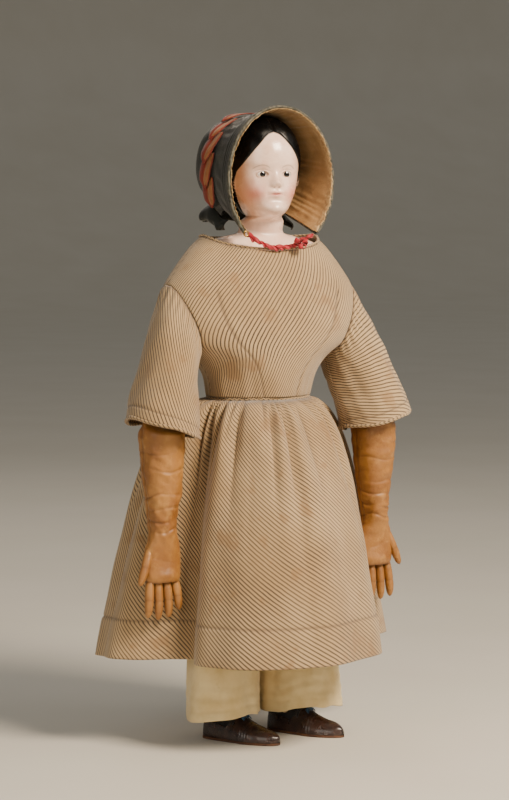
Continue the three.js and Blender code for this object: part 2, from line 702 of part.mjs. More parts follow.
function shoePiece(from, to) {
  const inside = SHOE_SECTIONS.map((s) => s[0]).filter((t) => t > from && t < to);
  return loft([from, ...inside, to].map((t) => shoeRing(t)));
}

function soleOutline() {
  const edge = steps(14).map((t) => {
    const { y, width } = shoeOutline(t);
    return new THREE.Vector2(width + 1.2, y);
  });
  const other = edge.map((p) => new THREE.Vector2(-p.x, p.y)).reverse();
  return new THREE.Shape([...edge, ...other]);
}

for (const [side, word] of [[RIGHT, 'right'], [LEFT, 'left']]) {
  const x = side * legX;
  const leg = legShape();
  leg.translate(x, 0, 0);
  add(`${word}_leg_bag`, leg, COTTON, 0.9);

  const rows = [0, 0.12, 0.3, 0.5, 0.75, 1];
  const clothRings = (inset) => rows.map((t) => pantaletteRing(side, t, inset));
  const tube = wall(clothRings(0), clothRings(CLOTH));
  tube.translate(x, 0, 0);
  add(`${word}_pantalette`, tube, COTTON, 0.85);

  const tapeInner = THIGH_RADIUS + 0.6;
  const tape = wall(
    [tapeZ, tapeZ + tapeHeight].map((z) => ring(20, (a) => new THREE.Vector3(
      (tapeInner + CLOTH) * Math.sin(a), -(tapeInner + CLOTH) * Math.cos(a), z))),
    [tapeZ, tapeZ + tapeHeight].map((z) => ring(20, (a) => new THREE.Vector3(
      tapeInner * Math.sin(a), -tapeInner * Math.cos(a), z))),
  );
  tape.translate(x, 0, 0);
  add(`${word}_pantalette_tape`, tape, COTTON, 0.85);

  const sole = new THREE.ExtrudeGeometry(soleOutline(), { depth: SOLE_THICKNESS, bevelEnabled: false });
  add(`${word}_shoe_sole`, turned(sole, FOOT_TURN, x, 0), 0x8a6a45, 0.7);
  const ankle = loft([ankleRing(legFootZ - CLEARANCE, CLEARANCE), ankleRing(ankleTopZ + 20, CLEARANCE)]);
  const split = CLEARANCE / 2 / SHOE_LENGTH;
  const quarter = cut(shoePiece(0, vampStart - split), ankle);
  add(`${word}_shoe_quarter`, turned(quarter, FOOT_TURN, x, 0), BLACK, 0.8);
  const vamp = shoePiece(vampStart + split, 1);
  add(`${word}_shoe_vamp`, turned(vamp, FOOT_TURN, x, 0), SHOE, 0.35);

  const laceRadius = 0.9;
  const lacePath = shoeRing(vampStart - 0.06).slice(1, 8).map((p) => new THREE.Vector3(
    p.x * (1 + (laceRadius + LOOSE) / SHOE_HALF_WIDTH * 1.4), p.y, p.z + (laceRadius + LOOSE) * 1.2));
  const lace = cord(lacePath, laceRadius, 12, 5);
  add(`${word}_shoe_lace`, turned(lace, FOOT_TURN, x, 0), BLACK, 0.8);

  const bow = new THREE.SphereGeometry(1, 10, 6);
  bow.scale(5, 3.2, 1.8);
  const throat = shoeOutline(vampStart + 0.06);
  bow.translate(0, throat.y, upperZ + throat.height + 1.8 + LOOSE * 3);
  add(`${word}_shoe_ribbon`, turned(bow, FOOT_TURN, x, 0), 0x3f6f8f, 0.6);
}

// Bonnet: each hoop runs over the head from one lower corner to the other.
const rimY = -FACE_DEPTH * 1.06;
const seamY = 14;
const bonnetBackY = HEAD_BACK + 38;
const rimCentreZ = chinZ + HEAD_HEIGHT * 0.36;
const rimHalfHeight = headTopZ + 12 - rimCentreZ;
const seamCentreZ = chinZ + HEAD_HEIGHT * 0.463;
const seamHalfHeight = headTopZ + 2.1 - seamCentreZ;
const seamHalfWidth = HEAD_HALF_WIDTH + 16;
const hoopEnd = 138;

function hoop(angle, halfWidth, halfHeight, centreZ, y) {
  return new THREE.Vector3(halfWidth * Math.sin(angle), y, centreZ + halfHeight * Math.cos(angle));
}

function brimPoint(angle, t, inset) {
  const width = mix(BRIM_HALF_WIDTH, seamHalfWidth, t ** 0.8) - inset;
  const height = mix(rimHalfHeight, seamHalfHeight, t ** 0.8) - inset;
  return hoop(angle, width, height, mix(rimCentreZ, seamCentreZ, t), mix(rimY, seamY, t));
}

function hoopAngles(count, end) {
  return steps(count).map((t) => radians(mix(-end, end, t)));
}

const brimRows = [0, 0.5, 1];
add('bonnet_brim', strip(hoopAngles(26, hoopEnd).map((a) => [
  ...brimRows.map((t) => brimPoint(a, t, 0)),
  ...brimRows.slice().reverse().map((t) => brimPoint(a, t, CLOTH)),
])), SILK, 0.6);

const liningOut = CLOTH + CLEARANCE;
add('bonnet_lining', strip(hoopAngles(26, hoopEnd - 1).map((a) => [
  ...brimRows.map((t) => brimPoint(a, t, liningOut)),
  ...brimRows.slice().reverse().map((t) => brimPoint(a, t, liningOut + LINING)),
])), 0xa08a66, 0.7);

const bindingRadius = 2;
const bindingPath = hoopAngles(22, hoopEnd - 2).map((a) => {
  const p = brimPoint(a, 0, CLOTH / 2 + 1);
  p.y -= bindingRadius + CLEARANCE;
  return p;
});
add('bonnet_binding', cord(bindingPath, bindingRadius, 30, 5), 0x8d8b80, 0.8);

const crownRise = 24;

function crownPoint(angle, t, inset) {
  const round = Math.cos(t * Math.PI / 2 * 0.99) ** 0.45;
  const width = (seamHalfWidth - inset) * round;
  const height = (seamHalfHeight - inset) * round;
  const y = seamY + LOOSE + (bonnetBackY - seamY - inset) * Math.sin(t * Math.PI / 2 * 0.99);
  const centreZ = seamCentreZ + crownRise * t * t;
  return hoop(angle * mix(1, 176 / hoopEnd, ease(t * 1.5)), width, height, centreZ, y);
}

const crownRows = [0, 0.22, 0.44, 0.66, 0.84, 1];
add('bonnet_crown', strip(hoopAngles(26, hoopEnd).map((a) => [
  ...crownRows.map((t) => crownPoint(a, t, 0)),
  ...crownRows.slice().reverse().map((t) => crownPoint(a, t, CLOTH)),
])), SILK, 0.6);

// Neck curtain: a flared, rippled ruffle behind the neck.
const curtainTopZ = seamCentreZ - seamHalfHeight * 0.64;
const curtainDrop = 19;
const curtainDip = 17;

function curtainPoint(angle, t, inset) {
  const ripple = 2.5 * Math.cos(10 * angle) * t;
  const width = HEAD_HALF_WIDTH + 5 + 8 * t + ripple - inset;
  const depth = bonnetBackY - seamY - 17 + 8 * t + ripple - inset;
  const y = seamY + 10 + depth * Math.cos(angle);
  const dip = ease((Math.abs(angle) - radians(80)) / radians(30));
  const z = curtainTopZ - curtainDip * dip - (curtainDrop - curtainDip * 0.45 * dip) * t;
  return new THREE.Vector3(width * Math.sin(angle), y, z);
}

const curtainRows = [0, 0.5, 1];
const curtainSpread = 116;
add('bonnet_curtain', strip(hoopAngles(30, curtainSpread).map((a) => [
  ...curtainRows.map((t) => curtainPoint(a, t, 0)),
  ...curtainRows.slice().reverse().map((t) => curtainPoint(a, t, CLOTH)),
])), SILK, 0.6);

// Pleated ribbon laid over the seam of brim and crown.
const ribbonHalf = 11;
const ribbonSpread = 128;
const ribbonBack = 5;
const ribbonThickness = 1.6;
const ribbonLift = 2.5;
const pleatHeight = 5;
const pleats = 11;
const stepsPerPleat = 5;
add('bonnet_ribbon', strip(hoopAngles(pleats * stepsPerPleat, ribbonSpread).map((a, i) => {
  const pleat = Math.abs(Math.sin(Math.PI * i / stepsPerPleat));
  const lift = ribbonLift + (1 - Math.cos(a)) + pleatHeight * pleat;
  const edges = [-1, 0, 1];
  const place = (k, out) => hoop(a, seamHalfWidth + out, seamHalfHeight + out, seamCentreZ,
    seamY + ribbonBack + k * ribbonHalf);
  const under = edges.slice().reverse().map((k) => place(k, lift - ribbonThickness));
  return [...edges.map((k) => place(k, lift)), ...under];
})), 0xa5563a, 0.6);

// Ribbon tie hanging from corner to corner of the brim over the front of the neckline, with its bow.
const tieRadius = 2.2;
const tieHalfSpan = 45;
const tieRise = 16;
const tieLowest = bodicePoint(0, necklineZ(0), CLOTH / 2);
tieLowest.y -= CORD_RADIUS + tieRadius + CLEARANCE;
tieLowest.z += 2 * CORD_RADIUS;
const tiePath = steps(8).map((t) => {
  const k = mix(-1, 1, t);
  return new THREE.Vector3(k * tieHalfSpan, tieLowest.y, tieLowest.z + tieRise * k * k);
});
add('bonnet_tie', cord(tiePath, tieRadius, 24, 6), RED, 0.5);
const bowDepth = 3.5;
const bow = new THREE.SphereGeometry(1, 12, 6);
bow.scale(9, bowDepth, 5);
const bowPlace = tiePath[6];
bow.translate(bowPlace.x, bowPlace.y - tieRadius - bowDepth - CLEARANCE, bowPlace.z);
add('tie_bow', bow, RED, 0.5);

// Small brass ring sewn before the end of the binding, at the doll's right corner of the brim.
const ringRadius = 3;
const ringWire = 0.8;
const bindingEnd = bindingPath[0];
const brassRing = new THREE.TorusGeometry(ringRadius, ringWire, 6, 12);
brassRing.rotateX(Math.PI / 2);
const ringY = bindingEnd.y - bindingRadius - ringWire - CLEARANCE;
brassRing.translate(bindingEnd.x, ringY, bindingEnd.z - ringRadius / 3);
add('tie_ring', brassRing, 0xb08d3c, 0.3, 1);

export default group;
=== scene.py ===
import bmesh
import bpy
import numpy as np
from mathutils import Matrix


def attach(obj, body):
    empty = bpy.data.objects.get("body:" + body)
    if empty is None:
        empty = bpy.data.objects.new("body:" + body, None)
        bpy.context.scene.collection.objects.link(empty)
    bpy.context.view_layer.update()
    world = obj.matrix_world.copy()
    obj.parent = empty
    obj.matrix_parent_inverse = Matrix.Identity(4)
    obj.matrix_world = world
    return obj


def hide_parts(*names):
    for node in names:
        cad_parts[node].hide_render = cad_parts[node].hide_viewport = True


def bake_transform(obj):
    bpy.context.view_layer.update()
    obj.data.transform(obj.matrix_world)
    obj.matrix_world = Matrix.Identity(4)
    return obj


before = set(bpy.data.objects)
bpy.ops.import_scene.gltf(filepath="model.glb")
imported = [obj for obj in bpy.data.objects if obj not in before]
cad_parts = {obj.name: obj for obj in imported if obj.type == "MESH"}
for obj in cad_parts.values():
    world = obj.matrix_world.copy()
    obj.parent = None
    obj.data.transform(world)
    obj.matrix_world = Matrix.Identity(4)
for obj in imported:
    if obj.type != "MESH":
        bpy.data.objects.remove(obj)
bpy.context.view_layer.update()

# A standing papier-mache shoulder-head doll in a striped cotton dress and a silk bonnet.
# Sizes are in millimetres, +Z up, the face toward -Y and the doll's left hand toward +X.
MM = 0.001
SIDES = (("right", -1), ("left", 1))

LEG_SEAM_Z = 317.0
HIP_FOLD_Z = 366.0
WAIST_Z = 414.0
ARMHOLE_Z = 506.0
PLATE_Z = 566.0
SHOULDER_Z = 606.0
CHIN_Z = 629.0
HEAD_TOP_Z = 748.0
HEAD_HEIGHT = HEAD_TOP_Z - CHIN_Z
SHOULDER_RISE = SHOULDER_Z - WAIST_Z
WAIST_HALF_WIDTH, SHOULDER_HALF_WIDTH, CHEST_DEPTH = 65.0, 130.0, 63.0
HEAD_TURN = np.radians(-12.0)
HEAD_FORWARD = 11.0
FOOT_TURN = np.radians(25.0)
LEG_X = 45.5


# Small tools for shapes.

def mix(a, b, t):
    """Straight blend from a to b."""
    return a + (b - a) * t


def ease(t):
    """Smooth step from 0 to 1."""
    k = np.clip(t, 0.0, 1.0)
    return k * k * (3 - 2 * k)


def bump(x, width):
    """Bell curve of height 1."""
    return np.exp(-(x / width) ** 2)


def hermite(place, value, slope, x):
    """Cubic through values at their places, with the slopes given there."""
    i = np.clip(np.searchsorted(place, x) - 1, 0, len(place) - 2)
    spread = np.shape(x) + (1,) * (value.ndim - 1)
    span = (place[i + 1] - place[i]).reshape(spread)
    t = (x - place[i]).reshape(spread) / span
    rise = (1 + 2 * t) * (1 - t) ** 2 * value[i] + t * t * (3 - 2 * t) * value[i + 1]
    return rise + span * (t * (1 - t) ** 2 * slope[i] + t * t * (t - 1) * slope[i + 1])


def curve(pairs, x):
    """Smooth cubic through pairs of place and value, held level beyond the ends."""
    place, value = np.array(pairs, float).T
    number = np.arange(len(place))
    before, after = np.maximum(number - 1, 0), np.minimum(number + 1, len(place) - 1)
    slope = (value[after] - value[before]) / (place[after] - place[before])
    return hermite(place, value, slope, np.clip(np.asarray(x, float), place[0], place[-1]))


def section(angle, half_width, half_depth, squareness):
    """Rounded-square ring: angle 0 in front, growing toward the doll's left."""
    s, c = np.sin(angle), np.cos(angle)
    reach = (np.abs(s) ** squareness + np.abs(c) ** squareness) ** (-1 / squareness)
    return half_width * s * reach, -half_depth * c * reach


def waves(u, v, seed, count=7):
    """Uneven soft ripple about 0: a sum of slanted sines whose slants come from a fixed seed."""
    pick = np.random.default_rng(seed)
    total = np.zeros(np.broadcast(u, v).shape)
    for _ in range(count):
        fu, fv, phase = pick.normal(), pick.normal(), pick.uniform(0, 2 * np.pi)
        total = total + np.sin(fu * u + fv * v + phase)
    return total / np.sqrt(count)


def turn_about_z(points, angle):
    """Points turned about the upright axis."""
    c, s = np.cos(angle), np.sin(angle)
    x, y, z = points[..., 0], points[..., 1], points[..., 2]
    return np.stack([x * c - y * s, x * s + y * c, z], -1)


def spots(*coordinates):
    """Coordinates of one shape stacked to points."""
    return np.stack(np.broadcast_arrays(*coordinates), -1).astype(float)


def grid(low, high, columns, rows, last=1.0):
    """Two parameters: columns from low to high against rows from 0 to last."""
    return np.meshgrid(np.linspace(low, high, columns), np.linspace(0, last, rows))


def round_grid(rows, columns):
    """Angle once round in columns, the seam column twice, against rows from 0 to 1."""
    return grid(-np.pi, np.pi, columns + 1, rows)


def tube(path, radius, sides, flat=1.0, twist=0.0):
    """A round or flattened profile carried along a path: each ring stands square to the path."""
    path = np.asarray(path, float)
    ahead = np.gradient(path, axis=0)
    ahead /= np.linalg.norm(ahead, axis=1, keepdims=True)
    first = np.cross(ahead, (0.13, 0.31, 0.94))
    first /= np.linalg.norm(first, axis=1, keepdims=True)
    second = np.cross(ahead, first)
    radius = np.broadcast_to(np.asarray(radius, float), (len(path),))[:, None, None]
    turn = np.broadcast_to(np.asarray(twist, float), (len(path),))[:, None]
    a = np.linspace(0, 2 * np.pi, sides + 1)[None, :]
    out = np.cos(a)[..., None]
    over = flat * np.sin(a)[..., None]
    c, s = np.cos(turn)[..., None], np.sin(turn)[..., None]
    across = (out * c - over * s) * first[:, None] + (out * s + over * c) * second[:, None]
    return path[:, None] + radius * across


def closing(ring):
    """A ring drawn together to its middle point."""
    return np.repeat(ring.mean(0)[None, None], len(ring), 1)


def capped(rings):
    """Rings with a point added at each end, so that the tube is closed."""
    return np.concatenate([closing(rings[0]), rings, closing(rings[-1])], 0)


def surface_uv(points):
    """Distance round and down the middle of a grid, in metres, as its map."""
    step = np.linalg.norm(np.diff(points, axis=1), axis=2).mean(0)
    drop = np.linalg.norm(np.diff(points, axis=0), axis=2).mean(1)
    u = np.concatenate([[0], np.cumsum(step)])
    v = np.concatenate([[0], np.cumsum(drop)])
    return np.stack(np.meshgrid(u, v), -1) * MM


def piece(name, grids, material, body, node=None, uv=None, marks=None, inward=False, drop=None,
          thick=None):
    """Makes one mesh of point grids.

    Each grid is rows by columns of points in millimetres and becomes quads. Repeated seam columns and
    pole rows are welded, faces are turned to point away from the grid's own middle, or toward it where
    inward is set. node is the CAD node it stands for. uv holds a grid's map in metres, marks holds named
    values per point, and drop marks quads that are left out. thick gives a sheet its cloth thickness,
    inward from the surface.
    """
    grids = [np.asarray(g, float) for g in (grids if isinstance(grids, list) else [grids])]
    verts, faces, face_uv, start = [], [], [], 0
    for g in grids:
        rows, columns = g.shape[:2]
        number = start + np.arange(rows * columns).reshape(rows, columns)
        quads = np.stack([number[:-1, :-1], number[:-1, 1:], number[1:, 1:], number[1:, :-1]], -1)
        normal = np.cross(g[1:, 1:] - g[:-1, :-1], g[1:, :-1] - g[:-1, 1:])
        middle = (g[1:, 1:] + g[:-1, :-1]) / 2 - g.reshape(-1, 3).mean(0)
        if ((normal * middle).sum() < 0) != inward:
            quads = quads[..., ::-1]
        quads = quads.reshape(-1, 4)
        if drop is not None:
            quads = quads[~drop.reshape(-1)]
        verts.append(g.reshape(-1, 3))
        faces.append(quads)
        flat = surface_uv(g) if uv is None else uv
        face_uv.append(flat.reshape(-1, 2)[quads - start])
        start += rows * columns
    verts, faces = np.concatenate(verts) * MM, np.concatenate(faces)
    mesh = bpy.data.meshes.new(name)
    mesh.vertices.add(len(verts))
    mesh.vertices.foreach_set("co", verts.ravel())
    mesh.loops.add(faces.size)
    mesh.loops.foreach_set("vertex_index", faces.ravel())
    mesh.polygons.add(len(faces))
    mesh.polygons.foreach_set("loop_start", np.arange(0, faces.size, 4))
    mesh.update(calc_edges=True)
    mesh.uv_layers.new(name="cloth_map").data.foreach_set("uv", np.concatenate(face_uv).ravel())
    for mark, values in (marks or {}).items():
        layer = mesh.attributes.new(mark, "FLOAT", "POINT")
        layer.data.foreach_set("value", np.ascontiguousarray(values, np.float32).ravel())
    welded = bmesh.new()
    welded.from_mesh(mesh)
    bmesh.ops.remove_doubles(welded, verts=welded.verts, dist=2e-6)
    bmesh.ops.delete(welded, geom=[v for v in welded.verts if not v.link_faces], context="VERTS")
    welded.to_mesh(mesh)
    welded.free()
    mesh.shade_smooth()
    mesh.materials.append(material)
    made = bpy.data.objects.new(name, mesh)
    bpy.context.collection.objects.link(made)
    if node:
        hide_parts(node)
    if body:
        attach(made, body)
    if thick:
        wall = made.modifiers.new("cloth_thickness", "SOLIDIFY")
        wall.thickness = thick * MM
        wall.offset = -1
    return made


# Small tools for finishes.

def colour(code):
    """sRGB hex to linear colour with full alpha."""
    parts = [int(code[i:i + 2], 16) / 255 for i in (0, 2, 4)]
    return [c / 12.92 if c <= 0.04045 else ((c + 0.055) / 1.055) ** 2.4 for c in parts] + [1.0]


def add(tree, kind, links, out=0, **settings):
    """Adds one shader node and gives back an output: settings are its own, links are its sockets, each a
    value or another node's output."""
    made = tree.nodes.new("ShaderNode" + kind)
    for key, value in settings.items():
        setattr(made, key, value)
    for socket, source in links.items():
        if isinstance(source, bpy.types.NodeSocket):
            tree.links.new(source, made.inputs[socket])
        else:
            made.inputs[socket].default_value = source
    return made.outputs[out]


def begin(name, **constants):
    """A new material with its constant shader values: gives it, its tree, its shader and the place on it."""
    material = bpy.data.materials.new(name)
    material.use_nodes = True
    tree = material.node_tree
    shader = tree.nodes["Principled BSDF"]
    for key, value in constants.items():
        shader.inputs[key.replace("_", " ")].default_value = value
    return material, tree, shader, add(tree, "TexCoord", {}, "Object")


def clouds(tree, vector, scale, detail, low, high, least=0.0, most=1.0, rough=0.55):
    """Cloudy value: noise with its grain at 1/scale metres, eased from least, where it is below low, to
    most, where it is above high."""
    grain = add(tree, "TexNoise", {"Vector": vector, "Scale": scale, "Detail": detail, "Roughness": rough})
    return add(tree, "MapRange", {"Value": grain, "From Min": low, "From Max": high, "To Min": least,
               "To Max": most}, interpolation_type="SMOOTHSTEP")


def layered(tree, base, layers):
    """A base colour with others laid over it in turn, each by its own value."""
    laid, *tones = [colour(c) if isinstance(c, str) else c for c in (base, *(tone for _, tone in layers))]
    for (factor, _), tone in zip(layers, tones):
        laid = add(tree, "Mix", {"Factor": factor, "A": laid, "B": tone}, "Result", data_type="RGBA")
    return laid


def relief(tree, shader, place, distance, strength, grains, heights=()):
    """Bump summed from grains, each a noise's scale, detail and weight, and from other weighted heights."""
    total = 0.0
    for scale, detail, weight in grains:
        grain = add(tree, "TexNoise", {"Vector": place, "Scale": scale, "Detail": detail, "Roughness": 0.55})
        total = add(tree, "Math", {0: grain, 1: weight, 2: total}, operation="MULTIPLY_ADD")
    for height, weight in heights:
        total = add(tree, "Math", {0: height, 1: weight, 2: total}, operation="MULTIPLY_ADD")
    raised = add(tree, "Bump", {"Height": total, "Distance": distance, "Strength": strength})
    tree.links.new(raised, shader.inputs["Normal"])


# Finishes, each named for what it is made of.

def shoulder_head_paint():
    """Papier-mache, gessoed, oil painted and varnished: a smooth pale pink skin with soft brush mottling,
    rouged cheeks, thin painted brows and lips, and glossy black painted hair."""
    material, tree, shader, place = begin("varnished_papier_mache", Coat_Roughness=0.12, IOR=1.5)
    mark = {k: add(tree, "Attribute", {}, "Fac", attribute_name=k)
            for k in ("hair", "strand", "cheek", "lip", "brow", "socket", "wear")}
    skin = layered(tree, "F0D2BE", [
        (clouds(tree, place, 60.0, 4.0, 0.35, 0.7), "E8C2AB"),
        (clouds(tree, place, 22.0, 2.0, 0.5, 0.75, most=mark["wear"]), "D9B596"),
        (mark["cheek"], "D98A78"), (mark["socket"], "7E5644"), (mark["brow"], "8B6C58"),
        (mark["lip"], "B9685C"), (clouds(tree, place, 900.0, 1.0, 0.7, 0.76, most=0.35), "A9795C")])
    hair = layered(tree, "020202", [(mark["strand"], "070708")])
    tree.links.new(layered(tree, skin, [(mark["hair"], hair)]), shader.inputs["Base Color"])
    for socket, on_skin, on_hair in (("Coat Weight", 0.5, 0.05), ("Specular IOR Level", 0.5, 0.14)):
        value = add(tree, "MapRange", {"Value": mark["hair"], "To Min": on_skin, "To Max": on_hair},
                    interpolation_type="SMOOTHSTEP")
        tree.links.new(value, shader.inputs[socket])
    tree.links.new(clouds(tree, place, 45.0, 3.0, 0.3, 0.75, 0.2, 0.36), shader.inputs["Roughness"])
    relief(tree, shader, place, 0.00035, 0.5, [(240.0, 4.0, 1.0), (55.0, 2.0, 1.0)])
    return material


def glass_eye():
    """Blown glass eye without a pupil ring: near-black brown iris, milk-white ball, wet clear surface."""
    material, tree, shader, place = begin("blown_eye_glass", Roughness=0.04, Coat_Weight=1.0,
                                          Coat_Roughness=0.02, IOR=1.52)
    iris = add(tree, "Attribute", {}, "Fac", attribute_name="iris")
    rim, middle = [add(tree, "MapRange", {"Value": iris, "From Min": low, "From Max": high},
                       interpolation_type="SMOOTHSTEP") for low, high in ((0.05, 0.3), (0.75, 0.98))]
    dark = layered(tree, "1E110B", [(middle, "050404")])
    eye = layered(tree, "D6CCC0", [(clouds(tree, place, 700.0, 3.0, 0.45, 0.7), "BBA598"), (rim, dark)])
    tree.links.new(eye, shader.inputs["Base Color"])
    return material


def striped_cotton(name, lean):
    """Printed plain-weave cotton: tan ground with thin purple-brown stripes 4 mm apart, set on the slant,
    faded in clouds and stained brown, darker along the seam mark, which on the skirt also holds painted
    shade in the fold valleys, and with a painted glint on the weave's thread crossings. The weave is drawn
    at 1.1 mm, coarser than thread, so that it shows."""
    material, tree, shader, place = begin(name, Roughness=0.88, Sheen_Weight=0.25, Sheen_Roughness=0.6,
                                          Specular_IOR_Level=0.25)
    flat = add(tree, "UVMap", {}, uv_map="cloth_map")
    slanted = add(tree, "Mapping", {"Vector": flat, "Rotation": (0, 0, np.radians(lean)),
                  "Scale": (250.0, 250.0, 250.0)})
    across = add(tree, "SeparateXYZ", {"Vector": slanted}, "X")
    drift = add(tree, "TexNoise", {"Vector": flat, "Scale": 90.0, "Detail": 2.0, "Roughness": 0.55})
    uneven = add(tree, "Math", {0: drift, 1: 0.25, 2: across}, operation="MULTIPLY_ADD")
    centred = add(tree, "Math", {0: uneven, 1: 0.125}, operation="SUBTRACT")
    band = add(tree, "Math", {0: centred, 1: 0.5}, operation="PINGPONG")
    faded = clouds(tree, place, 14.0, 3.0, 0.3, 0.75, 0.78)
    stripe = add(tree, "MapRange", {"Value": band, "From Min": 0.28, "From Max": 0.36, "To Max": faded},
                 interpolation_type="SMOOTHSTEP")
    # The seam mark darkens real seams and stitch lines; on the skirt it also holds painted shade in the fold
    # valleys.
    seam = add(tree, "Attribute", {}, "Fac", attribute_name="seam")
    warp, weft = [add(tree, "TexWave", {"Vector": flat, "Scale": 285.0, "Distortion": 1.5, "Detail": 1.0},
                      "Fac", bands_direction=way) for way in "XY"]
    weave = add(tree, "Math", {0: warp, 1: weft}, operation="MULTIPLY")
    # thread lays a lighter colour on the weave's crossings: a painted glint on the raised threads.
    thread = add(tree, "Math", {0: weave, 1: 0.12}, operation="MULTIPLY")
    # Over the ground: mottling, stripes, brown stains, the seam mark with its painted fold shade, and the
    # painted thread glint.
    cloth = layered(tree, "B79B72", [
        (clouds(tree, place, 9.0, 4.0, 0.35, 0.7), "A3855B"), (stripe, "291A15"),
        (clouds(tree, place, 30.0, 3.0, 0.58, 0.7, most=0.5, rough=0.5), "7D5A34"),
        (seam, "4A3628"), (thread, "E0CDA9")])
    tree.links.new(cloth, shader.inputs["Base Color"])
    relief(tree, shader, place, 0.0006, 0.55, [(70.0, 3.0, 1.6)], [(weave, 0.3)])
    return material


def plain_cotton(name, light, dark, creases):
    """Washed undyed cotton, plain weave, cream gone yellow in places, soft creases. The weave is drawn at
    1.1 mm, coarser than thread, so that it shows."""
    material, tree, shader, place = begin(name, Roughness=0.9, Sheen_Weight=0.3, Sheen_Roughness=0.6,
                                          Specular_IOR_Level=0.2)
    flat = add(tree, "UVMap", {}, uv_map="cloth_map")
    cloth = layered(tree, light, [(clouds(tree, place, 24.0, 4.0, 0.38, 0.72), dark),
                                  (clouds(tree, place, 60.0, 2.0, 0.68, 0.8, most=0.35), "9A7E52")])
    tree.links.new(cloth, shader.inputs["Base Color"])
    threads = [(add(tree, "TexWave", {"Vector": flat, "Scale": 285.0, "Distortion": 1.0}, "Fac",
                    bands_direction=way), 0.2) for way in "XY"]
    relief(tree, shader, place, 0.0007, 0.6, [(75.0, 4.0, 1.8 * creases)], threads)
    return material


def old_silk(name, dark, light, worn, creases=1.5):
    """Thin ribbed silk over wadding: a soft sheen, faded in streaks and worn pale where the edge mark is
    high. The rib is drawn at 1.4 mm, coarser than thread, so that it shows."""
    material, tree, shader, place = begin(name, Roughness=0.58, Sheen_Weight=0.15, Sheen_Roughness=0.4,
                                          Specular_IOR_Level=0.4)
    flat = add(tree, "UVMap", {}, uv_map="cloth_map")
    edge = add(tree, "Attribute", {}, "Fac", attribute_name="edge")
    streak = add(tree, "Mapping", {"Vector": flat, "Scale": (60.0, 700.0, 1.0)})
    silk = layered(tree, dark, [(clouds(tree, place, 40.0, 4.0, 0.3, 0.7), light),
                                (clouds(tree, streak, 1.0, 3.0, 0.55, 0.85, most=0.22), worn),
                                (clouds(tree, place, 260.0, 4.0, 0.38, 0.62, most=edge), worn)])
    tree.links.new(silk, shader.inputs["Base Color"])
    rib = add(tree, "TexWave", {"Vector": flat, "Scale": 224.0, "Distortion": 2.0, "Detail": 2.0}, "Fac",
              bands_direction="Y")
    relief(tree, shader, place, 0.0006, 0.6, [(110.0, 4.0, creases)], [(rib, 0.35)])
    return material


def ribbon_silk(name, edge_colour, middle_colour, shade, rough=0.5):
    """Woven silk ribbon: two-tone where the selvage is dyed darker, cross ribs at 0.9 mm, satin sheen."""
    material, tree, shader, place = begin(name, Roughness=rough, Sheen_Weight=0.35, Sheen_Roughness=0.3,
                                          Specular_IOR_Level=0.4)
    flat = add(tree, "UVMap", {}, uv_map="cloth_map")
    edge = add(tree, "Attribute", {}, "Fac", attribute_name="edge")
    selvage = add(tree, "MapRange", {"Value": edge, "From Min": 0.3, "From Max": 0.62},
                  interpolation_type="SMOOTHSTEP")
    cloth = layered(tree, middle_colour, [(selvage, edge_colour),
                                          (clouds(tree, place, 130.0, 3.0, 0.4, 0.8, most=0.7), shade)])
    tree.links.new(cloth, shader.inputs["Base Color"])
    rib = add(tree, "TexWave", {"Vector": flat, "Scale": 349.0, "Distortion": 0.8}, "Fac",
              bands_direction="Y")
    relief(tree, shader, place, 0.0003, 0.6, [(220.0, 3.0, 1.0)], [(rib, 1.0)])
    return material


def stuffed_leather(name):
    """Thin tanned kid over stuffing: orange-tan, burnished and darker in creases and at the finger seams,
    fine pores at 0.8 mm, soft gloss on the handled places."""
    material, tree, shader, place = begin(name, Coat_Weight=0.12, Coat_Roughness=0.35, IOR=1.48)
    crease = add(tree, "Attribute", {}, "Fac", attribute_name="crease")
    hide = layered(tree, "A06F35", [(clouds(tree, place, 28.0, 4.0, 0.3, 0.72), "835323"),
                                    (clouds(tree, place, 75.0, 3.0, 0.52, 0.74, most=0.55), "B8884A"),
                                    (clouds(tree, place, 190.0, 2.0, 0.68, 0.78, most=0.5), "6E431C"),
                                    (crease, "5C3716")])
    tree.links.new(hide, shader.inputs["Base Color"])
    tree.links.new(clouds(tree, place, 60.0, 3.0, 0.3, 0.7, 0.36, 0.55), shader.inputs["Roughness"])
    pores = add(tree, "TexVoronoi", {"Vector": place, "Scale": 1250.0}, "Distance")
    relief(tree, shader, place, 0.0006, 0.65, [(160.0, 5.0, 2.2)], [(pores, 0.35)])
    return material


def shoe_leather(name, dark, light, rough, gloss):
    """Waxed shoe leather: deep brown, rubbed lighter on the ridges, fine crackle at 1.5 mm, polished."""
    material, tree, shader, place = begin(name, Coat_Weight=gloss, Coat_Roughness=0.2, IOR=1.5)
    hide = layered(tree, dark, [(clouds(tree, place, 90.0, 4.0, 0.35, 0.72), light),
                                (clouds(tree, place, 320.0, 4.0, 0.62, 0.72, most=0.5), "6E4A34")])
    tree.links.new(hide, shader.inputs["Base Color"])
    dull = clouds(tree, place, 70.0, 3.0, 0.3, 0.7, rough - 0.06, rough + 0.12)
    tree.links.new(dull, shader.inputs["Roughness"])
    crackle = add(tree, "TexVoronoi", {"Vector": place, "Scale": 660.0}, "Distance",
                  feature="DISTANCE_TO_EDGE")
    plates = add(tree, "MapRange", {"Value": crackle, "From Max": 0.12}, interpolation_type="SMOOTHSTEP")
    relief(tree, shader, place, 0.0004, 0.55, [(120.0, 4.0, 1.0)], [(plates, 1.0)])
    return material


def polished_brass():
    """Drawn brass wire, tarnished brown in the hollows."""
    material, tree, shader, place = begin("drawn_brass", Metallic=1.0, Roughness=0.3)
    brass = layered(tree, "B8934A", [(clouds(tree, place, 900.0, 3.0, 0.4, 0.7), "6B4E22")])
    tree.links.new(brass, shader.inputs["Base Color"])
    relief(tree, shader, place, 0.0001, 0.4, [(1500.0, 2.0, 1.0)])
    return material


